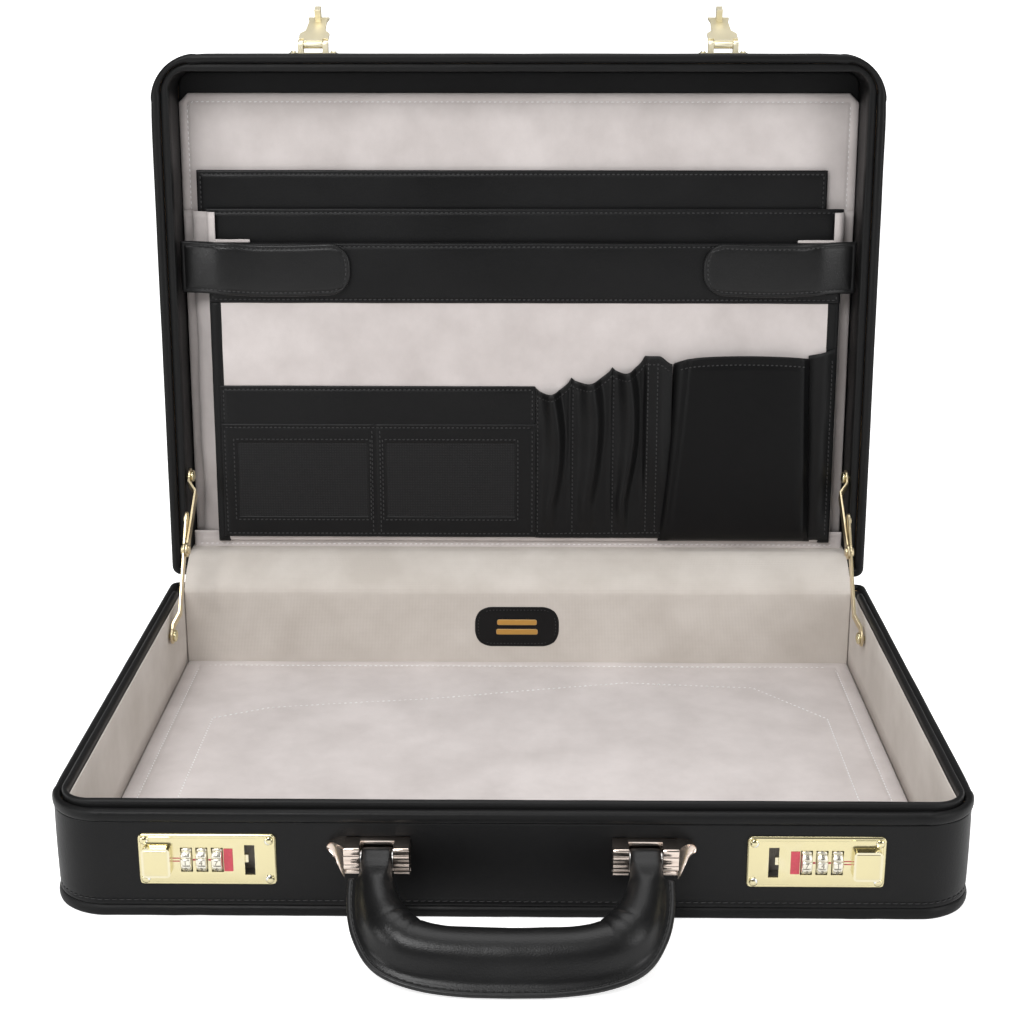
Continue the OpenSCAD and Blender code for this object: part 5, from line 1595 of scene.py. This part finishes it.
def dials():
    """Number wheels: ten barrelled faces with grooves between them and a sunk, painted digit on each."""
    digits = digit_shapes(3.7)
    axle = base_box("dial_axles")
    bore = (axle[1].z - axle[0].z) / 2 + 0.12
    for side in ("left", "right"):
        for i in (1, 2, 3):
            low, high = base_box(f"dial_{side}_{i}")
            c, half = (low + high) / 2, (high.x - low.x) / 2
            radius, steps = (high.z - low.z) / 2 - 0.05, 120
            rows = [(-half, bore), (-half, radius - 0.75), (-half + 0.3, radius - 0.3), (-half + 0.75, radius),
                    (0.0, radius + 0.04), (half - 0.75, radius), (half - 0.3, radius - 0.3),
                    (half, radius - 0.75), (half, bore)]
            co = []
            for x, r in rows:
                for k in range(steps):
                    a = math.tau * k / steps
                    off = (a / math.tau * 10 + 0.5) % 1.0 - 0.5
                    groove = 0.0 if r <= bore else 0.62 * math.exp(-((abs(off) - 0.5) / 0.085) ** 2)
                    rr = r - groove
                    co.append((x, -rr * math.cos(a), rr * math.sin(a)))
            faces, n = [], len(rows)
            for a in range(n):
                b = (a + 1) % n
                for k in range(steps):
                    m = (k + 1) % steps
                    faces.append((a * steps + k, a * steps + m, b * steps + m, b * steps + k))
            place = Matrix.Translation(c)
            wheel = piece(f"dial_{side}_{i}_wheel", co, faces, DIAL, f"dial_{side}_{i}",
                          [f"dial_{side}_{i}"], place=place)
            sharpen(wheel, 50)
            marks = []
            for d, (shape, dfaces) in enumerate(digits):
                a = math.tau * ((d + 3 * i) % 10) / 10
                out = np.array((0, -math.cos(a), math.sin(a)))
                up = np.array((0, math.sin(a), math.cos(a)))
                pts = [np.array((x, 0, 0)) + up * y + out * (radius - 0.02 + z) for x, y, z in shape]
                marks.append((pts, dfaces))
            co, faces = join(marks)
            piece(f"dial_{side}_{i}_digits", co, faces, DIGIT, f"dial_{side}_{i}", place=place,
                  smooth=False)


def ridge(cy, cz, r, a0, a1, n=7):
    return [(cy + r * math.cos(math.radians(a0 + (a1 - a0) * i / n)),
             cz + r * math.sin(math.radians(a0 + (a1 - a0) * i / n))) for i in range(n + 1)]


def bracket(side):
    """A cast handle mount: two stepped lobes under a flat top, a shelf between them and a scooped wing."""
    sign = -1 if side == "left" else 1
    low, high = base_box(f"handle_bracket_{side}")
    near, far = min(abs(low.x), abs(high.x)), max(abs(low.x), abs(high.x))
    pivot = Vector(JOINTS["handle_swing"]["pos_m"]) / MM
    back, top = high.y, high.z
    lobe, gap = 7.6, 16.2
    profile = [(back, top), (pivot.y - 4.7, top), (pivot.y - 5.3, top - 0.7), (pivot.y - 5.3, top - 2.2)]
    profile += ridge(pivot.y - 2.2, pivot.z + 2.9, 3.1, 150, 205)
    profile += ridge(pivot.y - 2.2, pivot.z - 1.7, 2.7, 150, 215)
    profile += ridge(pivot.y - 0.4, pivot.z - 5.3, 2.3, 160, 250)
    profile += [(pivot.y + 3.5, pivot.z - 7.6), (back, pivot.z - 7.9)]
    lobes = [prism(profile, x, x + lobe, 0.35) for x in (near, near + lobe + gap)]
    plate = block(near, near + 2 * lobe + gap, back - 1.25, back, low.z, top, 0.35)
    shelf = block(near + lobe - 0.5, near + lobe + gap + 0.5, pivot.y + 3.3, back - 0.2, top - 2, top, 0.35)
    root, wing, nx, nz = near + 2 * lobe + gap - 0.4, far - near - 2 * lobe - gap + 0.4, 14, 16
    front, rear = [], []
    for j in range(nz + 1):
        b = 2 * j / nz - 1
        for i in range(nx + 1):
            a = i / nx
            upper, lower = top - 0.2 - 1.6 * a * a, pivot.z - 7.7 + 8.4 * smooth_step(0, 0.8, a)
            span = (upper - lower) / 2 * math.sqrt(max(0.0, 1 - (0.99 * a) ** 5))
            z = (upper + lower) / 2 + span * b
            y = back - 2.3 - 9.4 * (1 - a) ** 1.7 - 0.9 * abs(b) ** 3
            front.append((root + wing * a, y, z))
            rear.append((root + wing * a, back, z))
    n, total, faces = nx + 1, (nx + 1) * (nz + 1), []
    for j in range(nz):
        for i in range(nx):
            q = j * n + i
            faces.append((q, q + 1, q + n + 1, q + n))
            faces.append((total + q, total + q + n, total + q + n + 1, total + q + 1))
    rim = list(range(n)) + [j * n + nx for j in range(1, nz + 1)]
    rim += [nz * n + i for i in range(nx - 1, -1, -1)] + [j * n for j in range(nz - 1, 0, -1)]
    for a, b in zip(rim, rim[1:] + rim[:1]):
        faces.append((a, total + a, total + b, b))
    co, faces = join(lobes + [plate, shelf, (front + rear, faces)])
    obj = piece(f"handle_bracket_{side}_cast", co, faces, ROSE, "base",
                [f"handle_bracket_{side}"], place=Matrix.Scale(sign, 4, (1, 0, 0)))
    sharpen(obj, 38)


def stay_rivet_domes():
    """A domed brass head over each rivet that holds a stay to its wall."""
    for body, arm in (("base", "lower"), ("lid", "upper")):
        points = [Vector(v.co) / MM for v in frame["nodes"][f"{body}_rivets"].data.vertices]
        for side, sign in (("left", -1), ("right", 1)):
            _, y, z = (v / MM for v in JOINTS[f"stay_{arm}_{side}_pivot"]["pos_m"])
            head = min(abs(p.x) for p in points if math.hypot(p.y - y, p.z - z) < 5)
            place = Matrix.Translation((sign * head, y, z)) @ Matrix.Rotation(-sign * math.pi / 2, 4, "Y")
            co, faces = dome(3.8, 1.4)
            piece(f"stay_dome_{arm}_{side}", co, faces, BRASS, body, place=place)


def rear_corner_caps():
    """Leather over the ends of the side boards, behind the raised lip."""
    low, high = base_box("base_tongue")
    y1 = base_box("hinge_flap_base")[1].y - 0.4
    parts = [block(s * (HW - 9.95), s * (HW - 5.95), high.y + 0.1, y1, low.z, low.z + 1.3, 0.45) for s in (-1, 1)]
    co, faces = join(parts)
    piece("base_corner_caps", co, faces, TRIM, "base")


# ---------------------------------------------------------------- hardware kept from the frame


def finish_node(node, material, bevel=0.0, angle=30):
    """Gives a CAD node its material and, where it helps, softly broken edges."""
    obj = frame["nodes"][node]
    obj.data.materials.clear()
    obj.data.materials.append(material)
    weld = obj.modifiers.new("weld", "WELD")
    weld.merge_threshold = 1e-6
    if bevel:
        flat = obj.modifiers.new("flat", "DECIMATE")
        flat.decimate_type = "DISSOLVE"
        flat.angle_limit = math.radians(1.5)
        m = obj.modifiers.new("edges", "BEVEL")
        m.width = bevel * MM
        m.segments = 2
        m.limit_method = "ANGLE"
        m.angle_limit = math.radians(angle)
        m.harden_normals = True
    else:
        split = obj.modifiers.new("split", "EDGE_SPLIT")
        split.split_angle = math.radians(angle)
    return obj


def kept_nodes():
    for node in ("base_boards", "lid_boards"):
        finish_node(node, WOOD)
    for node in ("hinge_leaf_base", "hinge_leaf_lid", "spine_feet_base", "spine_feet_lid"):
        finish_node(node, STAY, 0.15)
    for node in ("hinge_pin", "lock_carriers", "dial_axles", "bolt_springs", "handle_core", "handle_pins",
                 "hasp_pins"):
        finish_node(node, STEEL)
    for node in ("lock_slider_left", "lock_slider_right"):
        finish_node(node, BRASS)
    for node in ("hasp_left", "hasp_right", "hasp_flanges"):
        finish_node(node, HASP, 0.25)
    for node in ("base_rivets", "lid_rivets"):
        finish_node(node, BRASS, 0.1)
    for side in ("left", "right"):
        for part in ("lower", "upper"):
            finish_node(f"stay_{part}_{side}", STAY, 0.2)
    finish_node("index_flags", FLAG, 0.1)
    finish_node("snap_studs", BRASS, 0.2)


# ---------------------------------------------------------------- stage


def studio():
    floor_mesh = bpy.data.meshes.new("floor")
    s = 80.0
    floor_mesh.from_pydata([(-s, -s, 0), (s, -s, 0), (s, s, 0), (-s, s, 0)], [], [(0, 1, 2, 3)])
    floor = bpy.data.objects.new("floor", floor_mesh)
    bpy.context.scene.collection.objects.link(floor)
    mat = bpy.data.materials.new("floor")
    mat.use_nodes = True
    mat.node_tree.nodes["Principled BSDF"].inputs["Base Color"].default_value = (0.9, 0.9, 0.9, 1)
    mat.node_tree.nodes["Principled BSDF"].inputs["Roughness"].default_value = 0.9
    mat.node_tree.nodes["Principled BSDF"].inputs["Emission Color"].default_value = (1, 1, 1, 1)
    path = mat.node_tree.nodes.new("ShaderNodeLightPath")
    reach = mat.node_tree.nodes.new("ShaderNodeCameraData").outputs["View Distance"]
    lift = math_node(mat.node_tree, "MULTIPLY", path.outputs["Is Camera Ray"],
                     ramp(mat.node_tree, reach, 2.0, 8.0, 0.72, 1.2))
    mat.node_tree.links.new(lift, mat.node_tree.nodes["Principled BSDF"].inputs["Emission Strength"])
    floor_mesh.materials.append(mat)

    world = bpy.data.worlds.new("studio")
    bpy.context.scene.world = world
    world.use_nodes = True
    tree = world.node_tree
    background = tree.nodes["Background"]
    coords = tree.nodes.new("ShaderNodeTexCoord")
    split = tree.nodes.new("ShaderNodeSeparateXYZ")
    tree.links.new(coords.outputs["Generated"], split.inputs[0])
    shade = ramp(tree, split.outputs["Z"], -0.2, 0.9, 0.22, 0.62)
    tree.links.new(shade, background.inputs["Strength"])
    background.inputs["Color"].default_value = (1, 1, 1, 1)
    mirrored = tree.nodes.new("ShaderNodeBackground")
    dark = math_node(tree, "MULTIPLY", ramp(tree, split.outputs["Z"], 0.05, 0.30),
                     ramp(tree, split.outputs["Z"], 0.95, 0.70))
    tree.links.new(ramp(tree, dark, 0.0, 1.0, 0.62, 0.05), mirrored.inputs["Strength"])
    seen = tree.nodes.new("ShaderNodeBackground")
    seen.inputs["Strength"].default_value = 1.4
    rays = tree.nodes.new("ShaderNodeLightPath")
    surface = background.outputs[0]
    for ray, shader in (("Is Glossy Ray", mirrored), ("Is Camera Ray", seen)):
        pick = tree.nodes.new("ShaderNodeMixShader")
        tree.links.new(rays.outputs[ray], pick.inputs["Fac"])
        tree.links.new(surface, pick.inputs[1])
        tree.links.new(shader.outputs[0], pick.inputs[2])
        surface = pick.outputs[0]
    tree.links.new(surface, tree.nodes["World Output"].inputs["Surface"])

    centre = Vector((0, 0, 0.12))
    for name, place, size, power in (("key", (-0.7, -1.5, 1.7), 0.9, 24), ("fill", (1.5, -1.1, 1.1), 1.2, 7),
                                     ("left", (-1.3, -0.9, 0.45), 0.5, 3.5), ("right", (1.3, -0.9, 0.45), 0.5, 2.5),
                                     ("top", (0.1, 0.35, 1.9), 1.4, 13)):
        data = bpy.data.lights.new(name, "AREA")
        data.size = size
        data.energy = power
        lamp = bpy.data.objects.new(name, data)
        lamp.location = place
        lamp.rotation_mode = "QUATERNION"
        lamp.rotation_quaternion = (centre - Vector(place)).to_track_quat("-Z", "Y")
        bpy.context.scene.collection.objects.link(lamp)


def camera():
    """Stands in front of the case and looks down into it, as the photograph does."""
    data = bpy.data.cameras.new("camera")
    data.sensor_width = 36.0
    data.lens = 62.92
    cam = bpy.data.objects.new("camera", data)
    distance, rise, shift = 0.7796, 0.3919, 0.0091
    cam.location = (shift, -HD * MM - distance, RIM_Z * MM + rise)
    pitch, yaw, roll = math.radians(17.13), math.radians(-0.64), math.radians(0.01)
    cam.rotation_euler = (math.radians(90) - pitch, roll, -yaw)
    bpy.context.scene.collection.objects.link(cam)
    bpy.context.scene.camera = cam
    bpy.context.scene.view_settings.view_transform = "Standard"


base_shell()
side_lining()
floor_pad()
lid_shell()
lid_inside()
hinge_flap()
label_patch()
divider("folio_rear", "file_rear", 44, 2.1)
divider("folio_middle", "file_middle", 44, 4.7)
front_folder()
foot_strip()
card_pocket()
pen_pockets()
pouch()
for side in ("left", "right"):
    strap(side)
    gusset(side)
handle()
for side in ("left", "right"):
    lock_plate(side)
    bracket(side)
dials()
rear_corner_caps()
stay_rivet_domes()
kept_nodes()
studio()
camera()
